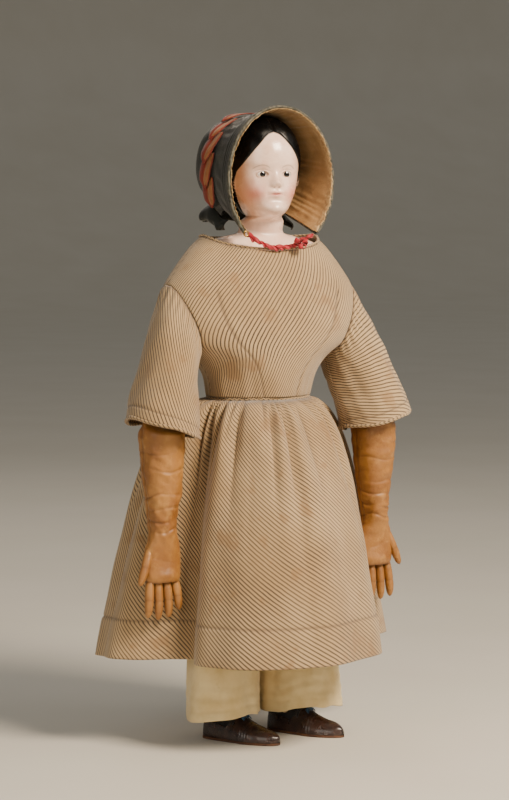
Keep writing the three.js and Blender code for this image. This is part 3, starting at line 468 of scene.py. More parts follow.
HEAD_PAINT = shoulder_head_paint()
EYE_GLASS = glass_eye()
BODICE_COTTON = striped_cotton("striped_dress_cotton_bodice", -31.0)
SKIRT_COTTON = striped_cotton("striped_dress_cotton_skirt", 47.0)
SLEEVE_COTTONS = {-1: striped_cotton("striped_dress_cotton_right_sleeve", -35.0),
                  1: striped_cotton("striped_dress_cotton_left_sleeve", 70.0)}
BIAS_COTTON = striped_cotton("striped_dress_cotton_bias", 45.0)
PANTALETTE_COTTON = plain_cotton("washed_white_cotton", "E4CE9A", "D0B57C", 0.5)
BODY_COTTON = plain_cotton("stuffed_body_muslin", "CDBB97", "AB9468", 0.7)
BONNET_SILK = old_silk("slate_bonnet_silk", "161713", "26281F", "6A685A")
LINING_SILK = old_silk("tan_lining_silk", "85643B", "A17D50", "C3A87A", 5.0)
BINDING_SILK = old_silk("worn_binding_silk", "1D1F19", "35362C", "8A8471")
TRIM_RIBBON = ribbon_silk("terracotta_trim_ribbon", "82291B", "A0663A", "6E3820")
TIE_RIBBON = ribbon_silk("crimson_tie_ribbon", "A11F2C", "B82E38", "6B1019", 0.45)
BLUE_RIBBON = ribbon_silk("blue_shoe_ribbon", "35577A", "4C7596", "22374F")
ARM_LEATHER = stuffed_leather("tanned_arm_kid")
VAMP_LEATHER = shoe_leather("waxed_brown_shoe_leather", "24120C", "3A2015", 0.28, 0.5)
SOLE_LEATHER = shoe_leather("plain_sole_leather", "4A2D1C", "6B4527", 0.6, 0.0)
SHOE_CLOTH = plain_cotton("black_shoe_twill", "17171A", "232327", 0.4)
LACE_CORD = plain_cotton("black_lace_cord", "121214", "1D1D20", 0.3)
RING_BRASS = polished_brass()


# The shoulder head and its eyes.

PLATE_WIDTHS = [(0, 1), (0.2, 0.95), (0.37, 0.86), (0.49, 0.76), (0.56, 0.64), (0.62, 0.48), (0.68, 0.34)]
PLATE_FRONTS = [(0, 1), (0.2, 0.94), (0.37, 0.84), (0.49, 0.74), (0.56, 0.65), (0.62, 0.57), (0.68, 0.5)]
HEAD_WIDTHS = [(0, 0.44), (0.06, 0.6), (0.14, 0.74), (0.26, 0.88), (0.4, 0.97), (0.56, 1), (0.7, 0.95),
               (0.82, 0.81), (0.91, 0.62), (0.97, 0.37), (1, 0.1)]
HEAD_FRONTS = [(0, 0.9), (0.06, 1.04), (0.14, 1.03), (0.24, 1.04), (0.34, 1), (0.46, 0.98), (0.56, 1.03),
               (0.7, 0.98), (0.82, 0.82), (0.91, 0.6), (0.97, 0.36), (1, 0.1)]
HEAD_BACKS = [(0, 0.52), (0.14, 0.72), (0.28, 0.9), (0.45, 1), (0.6, 1), (0.75, 0.9), (0.86, 0.72),
              (0.94, 0.46), (1, 0.1)]
HAIRLINE = [(0, 728), (14, 724), (30, 712), (45, 699), (58, 689), (70, 681), (78, 671), (84, 656), (92, 642),
            (112, 631), (180, 624)]
NOSE_RISES = [(659.5, 0), (663, 0.1), (665.5, 0.6), (668.5, 1), (671.5, 0.9), (677, 0.42), (685, 0.13),
              (694, 0)]
NOSE_WIDTHS = [(660, 6.4), (668, 6.6), (675, 5.4), (688, 5.0)]
PLATE_HALF_WIDTH, PLATE_DEPTH = SHOULDER_HALF_WIDTH * 0.755, CHEST_DEPTH * 0.81
HEAD_HALF_WIDTH, FACE_DEPTH, HEAD_BACK, NECK_RADIUS = 41.0, 48.0, 47.0, 26.0
EYE_X, EYE_Y, EYE_Z, EYE_RADIUS, IRIS_TURN = 14.9, -35.2, 678.5, 8.5, 0.47
MOUTH_Z, CHEEK_Z, BROW_TOP_Z, CROWN_Z = 655.2, 656, 694, 744
# Nose wings, eye hollows, brows, cheeks and mouth corners: rise, then middle and width across and up.
FACE_PAIRS = ((1.2, 5.2, 2.6, 665.5, 2.6), (-0.9, EYE_X, 10.5, EYE_Z, 7.5), (1.0, 16, 11, 689.5, 4),
              (1.8, 21, 12, CHEEK_Z, 11), (-0.8, 10.5, 2.4, 654.5, 4))


def head_section(z):
    """Half width, front depth and back depth of the moulding at a height: plate, neck and head curves."""
    on_plate = (z - PLATE_Z) / (CHIN_Z - PLATE_Z)
    on_head = (z - CHIN_Z) / HEAD_HEIGHT
    neck = ease((on_plate - 0.6) / 0.15)
    plate_depth = PLATE_DEPTH * curve(PLATE_FRONTS, on_plate)
    width = mix(PLATE_HALF_WIDTH * curve(PLATE_WIDTHS, on_plate), NECK_RADIUS, neck)
    front = mix(plate_depth, NECK_RADIUS, neck)
    back = mix(plate_depth, NECK_RADIUS * 0.96, neck)
    jaw = ease((z - CHIN_Z + 7) / 9.0)
    width = mix(width, HEAD_HALF_WIDTH * curve(HEAD_WIDTHS, on_head), jaw)
    front = mix(front, FACE_DEPTH * curve(HEAD_FRONTS, on_head), jaw)
    back = mix(back, HEAD_BACK * curve(HEAD_BACKS, on_head), jaw)
    return width, front, back


def face_relief(x, z, ahead):
    """How far the features stand out: nose with wings, lips, chin, brows and eye hollows, as bell curves."""
    out = 7.4 * curve(NOSE_RISES, z) * bump(x, curve(NOSE_WIDTHS, z))
    for side in (-1, 1):
        for rise, across, wide, up, tall in FACE_PAIRS:
            out = out + rise * bump(x - side * across, wide) * bump(z - up, tall)
    upper = bump(x, 6.4) * bump(z - 657.4, 1.7) - 0.5 * bump(x, 1.6) * bump(z - 659.6, 1.6)
    lower = bump(x, 5.6) * bump(z - 652.8, 2.0)
    parting = bump(x, 8.2) * bump(z - MOUTH_Z + 0.012 * x * x, 0.75)
    out = out + 1.7 * upper + 1.9 * lower - 1.5 * parting
    out = out - 1.3 * bump(x, 9) * bump(z - 647.8, 2.6) + 2.2 * bump(x, 10) * bump(z - 638.5, 6)
    return out * ahead


def head_grid():
    """Height rows against turn columns, closer together over the face, with the values painted on it."""
    k = np.linspace(-1, 1, 321)
    turn = np.pi * np.sign(k) * (0.42 * np.abs(k) + 0.58 * np.abs(k) ** 3.4)
    z = np.concatenate([np.linspace(PLATE_Z, CHIN_Z - 6, 46)[:-1],
                        np.linspace(CHIN_Z - 6, BROW_TOP_Z, 142)[:-1],
                        np.linspace(BROW_TOP_Z, CROWN_Z, 60)[:-1],
                        HEAD_TOP_Z - (HEAD_TOP_Z - CROWN_Z) * np.linspace(1, 0, 16) ** 2])
    turn, z = np.meshgrid(turn, z)
    width, front, back = head_section(z)
    facing = np.cos(turn) > 0
    x, y = section(turn, width, np.where(facing, front, back), 2.15)
    ahead = ease((np.cos(turn) - 0.1) / 0.5)
    y = y - face_relief(x, z, ahead)
    lids = np.zeros_like(x)
    for side in (-1, 1):
        dx, dz = x - side * EYE_X, z - EYE_Z
        room = np.clip((EYE_RADIUS + 0.5) ** 2 - dx ** 2 - dz ** 2, 0, None)
        ball = EYE_Y - np.sqrt(room)
        rounded = ease((9.6 - np.hypot(dx, dz)) / 4.5)
        y = np.where((room > 0) & facing, mix(y, np.minimum(y, ball), rounded), y)
        rim = (dx / 6.0) ** 2 + ((dz - 0.2 + 0.016 * dx ** 2) / np.where(dz > 0, 3.5, 3.1)) ** 2
        y = y + 2.4 * (ease((1.12 - rim) / 0.3) * facing)
        lids = np.maximum(lids, bump(rim - 1.1, 0.3) * np.where(dz > 0, 1.0, 0.4) * facing)
        crease = bump(dz - 5.6 + 0.03 * dx ** 2, 0.8) * bump(dx, 7.5) * ahead
        y = y + 0.7 * crease
        lids = np.maximum(lids, 0.5 * crease)
    degrees = np.degrees(np.abs(turn))
    above = z - curve(HAIRLINE, degrees)
    hair = ease((above + 0.5) / 1.0) * (z > CHIN_Z - 8)
    strand = np.cos(2 * np.pi * above / 2.9 + 0.8 * np.sin(turn * 5))
    thick = 2.2 * ease(above / 4.0) * hair
    part = bump(x, 1.3) * hair * (np.cos(turn) > -0.2)
    lift = thick + 0.5 * strand * ease(above / 6) * hair - 1.4 * part * ease(above / 4)
    reach = np.maximum(np.hypot(x, y), 1.0)
    x, y = x * (1 + lift / reach), y * (1 + lift / reach)
    for side in (-1, 1):
        ear = bump(degrees - 86, 6.0) * bump(z - 671, 9.0) * (np.sign(turn) == side)
        inner = bump(degrees - 85, 2.6) * bump(z - 672, 4.5) * (np.sign(turn) == side)
        x = x + side * (4.0 * ear - 2.2 * inner)
        hair = hair * (1 - ease((ear - 0.42) / 0.16))
    rouge = bump(np.abs(x) - 22, 10) * bump(z - CHEEK_Z, 10)
    flush = bump(np.abs(x) - 36, 11) * bump(z - 660, 16)
    mouth = bump(x, 7.6) * (bump(z - 656.9, 1.6) + 0.8 * bump(z - 653.4, 1.6))
    line = bump(x, 7.4) * bump(z - MOUTH_Z + 0.012 * x * x, 0.7)
    arch = 689.3 - 0.045 * (np.abs(x) - 16) ** 2
    ends = ease((np.abs(x) - 6) / 3) * ease((28 - np.abs(x)) / 4)
    nostril = bump(np.abs(x) - 3.0, 1.5) * bump(z - 663.2, 1.0)
    marks = {"hair": hair, "strand": ease(strand),
             "cheek": np.clip((0.8 * rouge + 0.2 * flush) * ahead, 0, 1),
             "lip": np.clip(0.8 * mouth + 0.8 * line, 0, 1) * ahead,
             "brow": 0.6 * bump(z - arch, 0.75) * ends * ahead,
             "socket": np.clip(0.75 * lids + 0.8 * nostril * ahead, 0, 1),
             "wear": ease((CHIN_Z + 30 - z) / 60) * 0.6 + 0.25}
    turned = turn_about_z(spots(x, y, z), HEAD_TURN * ease((z - SHOULDER_Z - 2) / 16.1))
    turned[..., 1] -= HEAD_FORWARD * ease(((z - PLATE_Z) / (CHIN_Z - PLATE_Z) - 0.35) / 0.8)
    marks = {k: np.concatenate([v, v[-1:]], 0) for k, v in marks.items()}
    return np.concatenate([turned, closing(turned[-1])], 0), marks


head_points, head_marks = head_grid()
piece("shoulder_head_moulding", head_points, HEAD_PAINT, "trunk", "shoulder_head",
      marks=head_marks)

for name, side in SIDES:
    round_, tip = grid(0, 2 * np.pi, 49, 49, np.pi)
    ball = spots(EYE_RADIUS * np.sin(tip) * np.cos(round_) + side * EYE_X,
                 EYE_Y - EYE_RADIUS * np.cos(tip), EYE_RADIUS * np.sin(tip) * np.sin(round_) + EYE_Z)
    ball = turn_about_z(ball, HEAD_TURN) - (0, HEAD_FORWARD, 0)
    piece(f"{name}_eye", ball, EYE_GLASS, "trunk", f"{name}_glass_eye",
          marks={"iris": np.clip((IRIS_TURN - tip) / 0.22, 0, 1)})


# The bonnet: each hoop runs over the head from one lower corner to the other.

RIM_Y, SEAM_Y, BONNET_BACK_Y = -50.9, 14.0, 85.0
RIM_Z, RIM_HEIGHT, RIM_WIDTH = 671.84, 88.16, 74.0
SEAM_Z, SEAM_HEIGHT, SEAM_WIDTH = 684.1, 66.0, 57.0
HOOP_END = np.radians(138)
CROWN_SPREAD, CROWN_RISE = 176 / 138, 24
CURTAIN_TOP_Z, CURTAIN_DROP, CURTAIN_DIP = 641.9, 19.0, 17.0
CURTAIN_HALF_WIDTH, CURTAIN_DEPTH, CURTAIN_Y, CURTAIN_END = 46, 54, 24, 116
LOOP_HALF_WIDTH, LOOP_LEAN = 13.0, 6.0
RING_RADIUS = 3.0


def hoop(angle, width, height, centre_z, y):
    """Upright half oval: angle 0 at the top, growing toward the doll's left."""
    return spots(width * np.sin(angle), y, centre_z + height * np.cos(angle))


def brim_points(angle, t, inset):
    """Brim from rim (t 0) to seam (t 1), drawn in by inset."""
    width = mix(RIM_WIDTH, SEAM_WIDTH, t ** 0.8) - inset
    height = mix(RIM_HEIGHT, SEAM_HEIGHT, t ** 0.8) - inset
    return hoop(angle, width, height, mix(RIM_Z, SEAM_Z, t), mix(RIM_Y, SEAM_Y, t))


def crown_points(angle, t, inset):
    """Crown from the seam, rounding over to the middle of the back."""
    swing = t * np.pi / 2 * 0.995
    round_ = np.cos(swing) ** 0.45
    y = SEAM_Y + 0.6 + (BONNET_BACK_Y - SEAM_Y - inset) * np.sin(swing)
    spread = angle * mix(1, CROWN_SPREAD, ease(1.5 * t))
    return hoop(spread, (SEAM_WIDTH - inset) * round_, (SEAM_HEIGHT - inset) * round_,
                SEAM_Z + CROWN_RISE * t ** 2, y)


angle, t = grid(-HOOP_END, HOOP_END, 261, 61)
cording = sum(0.7 * bump(t - place, 0.022) for place in (0.11, 0.22, 0.33)) - 0.5
puckers = 0.7 * waves(angle * 11, t * 4, 3) * bump(t - 0.6, 0.35)
worn = np.clip(bump(t, 0.035) + 0.3 * bump(t - 0.11, 0.02) + bump(np.abs(angle) - HOOP_END, 0.03), 0, 1)
piece("bonnet_brim_silk", brim_points(angle, t, -cording - puckers), BONNET_SILK, "bonnet",
      "bonnet_brim", marks={"edge": 0.8 * worn}, thick=1.4)

angle, t = grid(-HOOP_END, HOOP_END, 521, 45)
fray = (1.3 * waves(angle * 45, 0, 11) + 0.8 * waves(angle * 120, 0, 12)) * bump(t, 0.06)
gather = waves(angle * 24, t * 2.5, 5) + 0.5 * np.sin(angle * 50 + 2.5 * np.sin(angle * 9) + 2 * t)
slack = 1 - 0.8 * bump(angle, 0.6) * ease((t - 0.3) / 0.2)
inset = 2.9 + 1.5 * bump(t, 0.05) + ease(t / 0.12) * (0.8 + 0.75 * gather * mix(0.7, 1.2, t)) * slack
lining_points = brim_points(angle * 0.992, t, np.maximum(inset, 2.2))
lining_points[..., 1] += fray - 5.4 * bump(t, 0.05)
piece("bonnet_lining_silk", lining_points, LINING_SILK, "bonnet", "bonnet_lining",
      marks={"edge": bump(t, 0.06)}, inward=True, thick=0.5)

angle, t = grid(-HOOP_END, HOOP_END, 301, 71)
depth = 1.6 * bump(t - 0.1, 0.12) + 1.8 * ease((t - 0.55) / 0.4)
folds = np.cos(angle * 22 + 2.2 * np.sin(angle * 3)) * depth
sag = 1.6 * waves(angle * 4, t * 5, 21) * np.sin(np.pi * t)
piece("bonnet_crown_silk", crown_points(angle, t, 1.2 - 0.8 * folds - sag), BONNET_SILK, "bonnet",
      "bonnet_crown", marks={"edge": 0.3 * bump(folds - 1, 0.4)}, thick=1.2)

angle, t = grid(-CURTAIN_END, CURTAIN_END, 281, 31)
angle = np.radians(angle)
ripple = (2.5 * np.cos(10 * angle) + 1.6 * np.cos(17 * angle + 1) + waves(angle * 9, t * 2, 23)) * t
dip = ease((np.abs(angle) - np.radians(80)) / np.radians(30))
puff = 9.0 * np.sin(0.72 * np.pi * t)
curtain_z = CURTAIN_TOP_Z - CURTAIN_DIP * dip - (CURTAIN_DROP - 0.45 * CURTAIN_DIP * dip) * t ** 1.2
curtain_points = spots((CURTAIN_HALF_WIDTH + puff + ripple) * np.sin(angle),
                       CURTAIN_Y + (CURTAIN_DEPTH + puff + ripple) * np.cos(angle),
                       curtain_z + 1.2 * np.cos(5 * angle) * t)
curtain = piece("bonnet_curtain_silk", curtain_points, BONNET_SILK, "bonnet",
                "bonnet_curtain", marks={"edge": bump(t - 1, 0.1)}, thick=1.0)

path_angle = np.linspace(-HOOP_END * 0.985, HOOP_END * 0.985, 220)
rim_path = brim_points(path_angle, np.zeros(220), 2.0)
rim_path[:, 1] -= 2.3
rim_path += 0.3 * spots(waves(path_angle * 30, 0, 8), waves(path_angle * 30, 1, 9), 0 * path_angle)
binding_rings = capped(tube(rim_path, 1.9 + 0.2 * waves(path_angle * 25, 0, 4), 14))
piece("bonnet_rim_binding", binding_rings, BINDING_SILK, "bonnet", "bonnet_binding",
      marks={"edge": np.full(binding_rings.shape[:2], 0.35)})


def ribbon_loop(start, stop):
    """One folded ribbon loop on the crown seam: runs along the hoop from start to stop, rises over a soft
    fold, leans back and narrows to its rounded lower end. Gives its points and its dyed edges."""
    across, along = grid(-1, 1, 21, 33)
    where = mix(start, stop, along)
    half = LOOP_HALF_WIDTH * mix(0.75, 1.0, np.sin(np.pi * along ** 0.8))
    half = half * np.sqrt(1 - 0.93 * ease((along - 0.7) / 0.3))
    lift = 2.2 + (1 - np.cos(where)) + 4.6 * ease(along / 0.8) * (1 - 0.35 * across ** 2)
    lift = lift - 1.6 * bump(across - 0.1, 0.25) * ease(along / 0.4)
    y = SEAM_Y + 5 + across * half + LOOP_LEAN * (along - 0.5)
    red = np.maximum(ease((across - 0.05) / 0.3), bump(across + 1, 0.2))
    return (hoop(where, SEAM_WIDTH + lift, SEAM_HEIGHT + lift, SEAM_Z, y),
            np.maximum(red, ease((along - 0.84) / 0.1)))


def ribbon_piece(name, parts, material, body, node, thick=None):
    """One piece of several ribbon parts, each given as its points and its dyed edges."""
    piece(name, [points for points, _ in parts], material, body, node,
          marks={"edge": np.concatenate([edge.ravel() for _, edge in parts])}, thick=thick)


loops = []
for k in range(5):
    for way in (-1, 1):
        first = way * np.radians(1 + 24 * k)
        loops.append(ribbon_loop(first, first + way * np.radians(35 if k < 4 else 31)))
ribbon_piece("bonnet_ribbon_trim", loops, TRIM_RIBBON, "bonnet", "bonnet_ribbon", 0.6)

wire = np.linspace(0, 2 * np.pi, 49)
ring_end = brim_points(np.array([-np.radians(136)]), np.array([0.0]), 2.0)[0]
ring_path = spots(ring_end[0] + RING_RADIUS * np.cos(wire), ring_end[1] - 5.4,
                  ring_end[2] - 1.0 + RING_RADIUS * np.sin(wire))
piece("bonnet_tie_ring", tube(ring_path, 0.8, 12), RING_BRASS, "bonnet", "tie_ring")


# The dress: bodice, skirt, sleeves and their corded seams.

BODICE_WIDTHS = [(0, 0), (0.14, 0.09), (0.24, 0.32), (0.34, 0.75), (0.45, 0.98), (0.6, 1), (0.7, 0.92),
                 (0.79, 0.74), (0.86, 0.58), (0.93, 0.4), (1, 0.16)]
BODICE_DEPTHS = [(0, 0.86), (0.14, 0.94), (0.29, 1.01), (0.45, 1.02), (0.6, 0.97), (0.76, 0.89),
                 (0.86, 0.82), (0.93, 0.75), (1, 0.67)]
DART_TOP_Z = 545
LEAN = np.radians(21)
ARMHOLE_X, ARMHOLE_Y, ARMHOLE_RADIUS = 108.81, 0.0, 41.0
UPRIGHT = np.array([np.sin(LEAN), 0, np.cos(LEAN)])
AWAY = np.array([np.cos(LEAN), 0, -np.sin(LEAN)])


def bodice_section(z):
    """Half width, half depth and squareness of the bodice at a height."""
    rise = (z - WAIST_Z) / SHOULDER_RISE
    width = mix(WAIST_HALF_WIDTH, SHOULDER_HALF_WIDTH, curve(BODICE_WIDTHS, rise))
    return width, CHEST_DEPTH * curve(BODICE_DEPTHS, rise), 2 + 0.22 * bump(rise - 0.45, 0.3)


def bodice_points(angle, z, inset):
    """Bodice ring at a height, drawn in by inset."""
    width, depth, power = bodice_section(z)
    x, y = section(angle, width - inset, depth - inset, power)
    return spots(x, y, z)


def neckline_z(angle):
    """Height of the neck edge: it dips in front and a little behind."""
    c = np.cos(angle)
    dip = 0.085 * np.maximum(0, c) ** 1.5 + 0.02 * np.maximum(0, -c)
    return SHOULDER_Z - 1 - SHOULDER_RISE * dip


def past_armhole(points, side):
    """Distance of points beyond one armhole's leaning plane."""
    centre = np.array([side * ARMHOLE_X, 0, ARMHOLE_Z])
    return (points - centre) @ (AWAY * (side, 1, 1))


angle, v = round_grid(111, 320)
bodice_z = mix(neckline_z(angle), WAIST_Z + 0.6, v)
low = bump(v - 1, 0.2)
crumple = 0.9 * waves(angle * 6, v * 9, 31) * (0.4 + low) + 0.55 * waves(angle * 16, v * 5, 32) * low
drag = 1.5 * np.cos(9 * angle + 4 * v) * bump(np.abs(np.sin(angle)) - 1, 0.25) * bump(v - 0.62, 0.25)
below_dart = DART_TOP_Z - bodice_z
dart_at = np.radians(mix(40.0, 20.0, np.clip(below_dart / (DART_TOP_Z - WAIST_Z), 0, 1)))
dart = bump((np.abs(angle) - dart_at) * 90, 1.6) * ease(below_dart / 6)
side_seam = bump((np.abs(angle) - np.pi / 2) * 90, 1.0)
bodice = bodice_points(angle, bodice_z, -crumple - drag + 0.9 * dart + 0.6 * side_seam)
outside = np.zeros(bodice.shape[:2], bool)
for _, side in SIDES:
    beyond = past_armhole(bodice, side) + 0.3
    outside |= beyond > 0
    bodice = bodice - np.maximum(beyond, 0)[..., None] * AWAY * (side, 1, 1)
all_out = outside[:-1, :-1] & outside[1:, :-1] & outside[:-1, 1:] & outside[1:, 1:]
bodice_uv = np.stack([angle * 0.098, (SHOULDER_Z - bodice_z) * MM], -1)
dress_bodice = piece("striped_bodice", bodice, BODICE_COTTON, "trunk", "dress_bodice",
                     uv=bodice_uv, drop=all_out, thick=0.9,
                     marks={"seam": np.clip(0.55 * dart + 0.5 * side_seam, 0, 1)})

SKIRT_TOP_Z, HEM_Z = 410.7, 108.0
WAIST_DEPTH, HEM_RADIUS = 54, 150
HEM_STITCH = 0.85
# Gathers at the waist, swags below them and long folds: how many half turns, and where they start.
RIDGES = ((24, 0.4), (13, 1.1), (7, 0.2))


def hem_radius(angle):
    """Hem's distance from the axis: front and back lobes, side lobes and deep side folds, the doll's left
    fold opening wider to the front."""
    signed = np.degrees(np.arctan2(np.sin(angle), np.cos(angle)))
    turn = np.abs(signed)
    lobe = bump(turn - 97, np.where(turn < 97, 20.0, 32.0))
    fold = bump(turn - 75, np.where((signed > 0) & (turn < 75), 20.0, 11.0))
    ends = bump(turn, 40.0) + bump(180 - turn, 35.0)
    ripple = 0.022 * np.cos(np.radians(turn) * 10)
    return HEM_RADIUS * (1 + 0.08 * ends + 0.33 * lobe - 0.37 * fold + ripple)


def skirt_points(angle, fall, inset):
    """Skirt from gathered waist (fall 0) to hem (fall 1): it grows from waist oval to hem shape."""
    warped = angle + 0.25 * np.sin(2 * angle)
    s, c = np.sin(warped), np.cos(warped)
    waist = 1 / np.hypot(s / WAIST_HALF_WIDTH, c / WAIST_DEPTH)
    reach = mix(waist, hem_radius(warped), fall ** 0.45) - inset
    return spots(reach * s, -reach * c, mix(SKIRT_TOP_Z, HEM_Z, fall))


angle, fall = round_grid(121, 384)
waver = angle + 0.07 * np.sin(7 * angle + 1) + 0.04 * np.sin(13 * angle + 2)
ridges = [np.abs(np.sin(count * waver + shift)) ** 0.7 - 0.65 for count, shift in RIDGES]
pleat = 5.5 * ridges[0] * ease(fall / 0.01) * bump(fall, 0.13)
swag = 12.0 * ridges[1] * ease(fall / 0.06) * bump(fall - 0.1, 0.22)
long_fold = 8.0 * ridges[2] * ease(fall / 0.2) * (1 - 0.8 * fall)
long_fold = long_fold + 3.0 * waves(waver * 7.5, fall * 0.7, 41) * ease(fall / 0.25) * (1 - 0.35 * fall)
crease = 0.9 * waves(waver * 20, fall * 12, 42) * ease(fall / 0.2)
# Painted shade: the seam mark is darkened in the valleys of the waist gathers and of the swags below them.
painted_fold_shade = 0.75 * bump(ridges[0] + 0.65, 0.24) * bump(fall, 0.07)
painted_fold_shade = painted_fold_shade + 0.5 * bump(ridges[1] + 0.65, 0.2) * bump(fall - 0.1, 0.18)
stitch_line = bump(fall - HEM_STITCH, 0.005)
hem_fold = 0.9 * ease((fall - HEM_STITCH) / 0.01)
skirt = skirt_points(angle, fall, -pleat - swag - long_fold - crease + 0.9 * stitch_line - hem_fold)
skirt[..., 2] += 1.6 * waves(waver * 5, 0, 43) * fall
skirt[..., 2] += 2.4 * ridges[0] * ease(fall / 0.008) * bump(fall, 0.05)
skirt[0] = skirt_points(angle[0], fall[0], np.full(angle.shape[1], 2.5)) + (0, 0, 1.6)
steps = np.diff(skirt_points(angle, fall, np.zeros_like(fall)), axis=0)
length = np.append(0, np.linalg.norm(steps, axis=-1).mean(1).cumsum() * MM)
skirt_uv = np.stack([angle / (2 * np.pi) * 1.08, np.repeat(length[:, None], angle.shape[1], 1)], -1)
# The seam mark carries the hem stitching, the waist seam and the painted fold shade.
dress_skirt = piece("striped_skirt", skirt, SKIRT_COTTON, None, "dress_skirt", uv=skirt_uv,
                    marks={"seam": np.clip(0.5 * stitch_line + 0.5 * bump(fall, 0.01) + painted_fold_shade, 0, 1)},
                    thick=0.9)
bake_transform(dress_skirt)

ARM_X, ELBOW_Y, ELBOW_Z = 147.55, -28.0, 395.7
SLEEVE_HEM_Z, SLEEVE_HEM_HALF = 378.7, 42.12


def sleeve_points(side, angle, t, inset):
    """Sleeve rings from armhole circle (t 0) to hem oval (t 1), between a bent outer and a straight inner
    edge."""
    centre = np.array([ARMHOLE_X, 0, ARMHOLE_Z])
    shoulder, under = centre + UPRIGHT * ARMHOLE_RADIUS, centre - UPRIGHT * ARMHOLE_RADIUS
    outer_end = np.array([ARM_X + SLEEVE_HEM_HALF, 0, SLEEVE_HEM_Z + 18])
    inner_end = np.array([ARM_X - SLEEVE_HEM_HALF, 0, SLEEVE_HEM_Z - 6])
    bend = (shoulder + outer_end) / 2 + (6, 0, 6)
    t = t[..., None]
    outer = shoulder * (1 - t) ** 2 + 2 * bend * t * (1 - t) + outer_end * t ** 2
    inner = mix(under, inner_end, t)
    half = (outer - inner) / 2
    long = np.linalg.norm(half, axis=-1, keepdims=True)
    inset = inset[..., None]
    made = (outer + inner) / 2 + half / long * (long - inset) * np.cos(angle)[..., None] + AWAY * 0.3
    depth = mix(ARMHOLE_RADIUS, SLEEVE_HEM_HALF * 1.12, t)
    made[..., 1] = (mix(ARMHOLE_Y, ELBOW_Y - 3, t) + (depth - inset) * np.sin(angle)[..., None])[..., 0]
    return made * (side, 1, 1)


def armhole_reach(angle):
    """How far the bodice's cut edge lies from the armhole's middle, by angle round its leaning plane: the
    first place along each line where the point passes out of the bodice's own section."""
    reach = np.linspace(25, 60, 500)
    a, r = np.meshgrid(angle, reach, indexing="ij")
    point = np.array([ARMHOLE_X, ARMHOLE_Y, ARMHOLE_Z]) + r[..., None] * (
        np.cos(a)[..., None] * UPRIGHT + np.sin(a)[..., None] * np.array([0, 1, 0]))
    width, depth, power = bodice_section(point[..., 2])
    out = (np.abs(point[..., 0]) / width) ** power + (np.abs(point[..., 1]) / depth) ** power > 1
    return np.where(out.any(1), reach[np.argmax(out, 1)], ARMHOLE_RADIUS)


for name, side in SIDES:
    angle, t = round_grid(91, 180)
    tucks = 0.9 * np.cos(24 * angle + side) * bump(t - 0.07, 0.08)
    hang = 1.8 * waves(angle * 3, t * 5, 51 + side) * ease(t / 0.3)
    hang = hang + 0.9 * waves(angle * 8, t * 12, 53 + side) * ease(t / 0.2)
    hem_line = 0.9 * bump(t - 0.92, 0.008)
    fit = (ARMHOLE_RADIUS - armhole_reach(angle[0])[None, :] - 0.8) * bump(t, 0.2)
    calm = 1 - 0.6 * bump(t - 1, 0.1)
    points = sleeve_points(side, angle, t, fit - tucks - hang * calm + hem_line + 0.6 * bump(t, 0.012))
    points[..., 2] += 2.4 * waves(angle * 3, 0, 58 + side) * t ** 4
    middle = np.array([side * ARMHOLE_X, ARMHOLE_Y, ARMHOLE_Z])
    flange = np.stack([mix(middle, points[0], share) for share in (0.6, 0.8, 0.95)])
    points = np.concatenate([flange, points], 0)
    t = np.concatenate([np.repeat([[-0.13], [-0.07], [-0.02]], angle.shape[1], 1), t], 0)
    angle = np.concatenate([angle[:3], angle], 0)
    sleeve = piece(f"{name}_striped_sleeve", points, SLEEVE_COTTONS[side], f"{name}_arm",
                   f"{name}_sleeve", uv=np.stack([angle * 0.044, t * 0.125], -1), thick=0.9,
                   marks={"seam": 0.7 * bump(t - 0.92, 0.006) + 0.8 * bump(t, 0.015)})
    ring_angle = np.linspace(-np.pi, np.pi, 181)
    rim = sleeve_points(side, ring_angle, np.ones(181), np.full(181, 0.6))
    rim[:, 2] += 2.4 * waves(ring_angle * 3, 0, 58 + side) - 1.6
    piece(f"{name}_sleeve_bias", tube(rim, 2.2 + 0.3 * waves(ring_angle * 9, 0, 57), 12), BIAS_COTTON,
          f"{name}_arm", f"{name}_sleeve_binding")

ring_angle = np.linspace(-np.pi, np.pi, 321)
neck_path = bodice_points(ring_angle, neckline_z(ring_angle), 1.0 - 0.4 * waves(ring_angle * 12, 0, 61))
neck_path[:, 2] += 1.8
piece("neck_cording", tube(neck_path, 1.5, 12), BIAS_COTTON, "trunk", "neck_piping")
waist_x, waist_y = section(ring_angle, WAIST_HALF_WIDTH - 1, WAIST_DEPTH - 1, 2)
waist_path = spots(waist_x, waist_y, WAIST_Z - 1.35 + 0.3 * waves(ring_angle * 9, 0, 62))
piece("waist_cording", tube(waist_path, 1.5, 12), BIAS_COTTON, "trunk", "waist_piping")


# Leather arms and hands.

ARM_SHARES = [(0, 0.9), (0.1, 1), (0.25, 0.95), (0.5, 0.76), (0.67, 0.6)]
PALM_SHARES = [(0.67, 0.8), (0.82, 1), (0.91, 1.02), (1, 0.96)]
ARM_RADIUS, WRIST_RADIUS, WRIST, PALM_HALF_WIDTH, PALM_DEPTH = 27, 15.0, 0.67, 23, 10.5
PALM_Z, PALM_X, HAND_Y = 201.7, 149.55, -31.0
FINGER_RADIUS, THUMB_RADIUS, FINGER_STEP = 5.5, 5.4, 11.3
FINGER_SHAPE = [(0, 0.86), (0.2, 0.98), (0.42, 1.0), (0.5, 0.93), (0.62, 0.95), (0.78, 0.84), (0.9, 0.64),
                (0.97, 0.36), (1, 0.05)]
FINGERS = (("index", 1.5, 41), ("middle", 0.5, 44), ("ring", -0.5, 42), ("little", -1.5, 34))
# Place down the arm and depth of each wrinkle.
WRINKLES = ((0.2, 0.45), (0.3, 0.6), (0.39, 0.5), (0.47, 0.9), (0.535, 0.8), (0.59, 1.0), (0.64, 1.0),
            (0.69, 0.8), (0.75, 0.5), (0.86, 0.35))


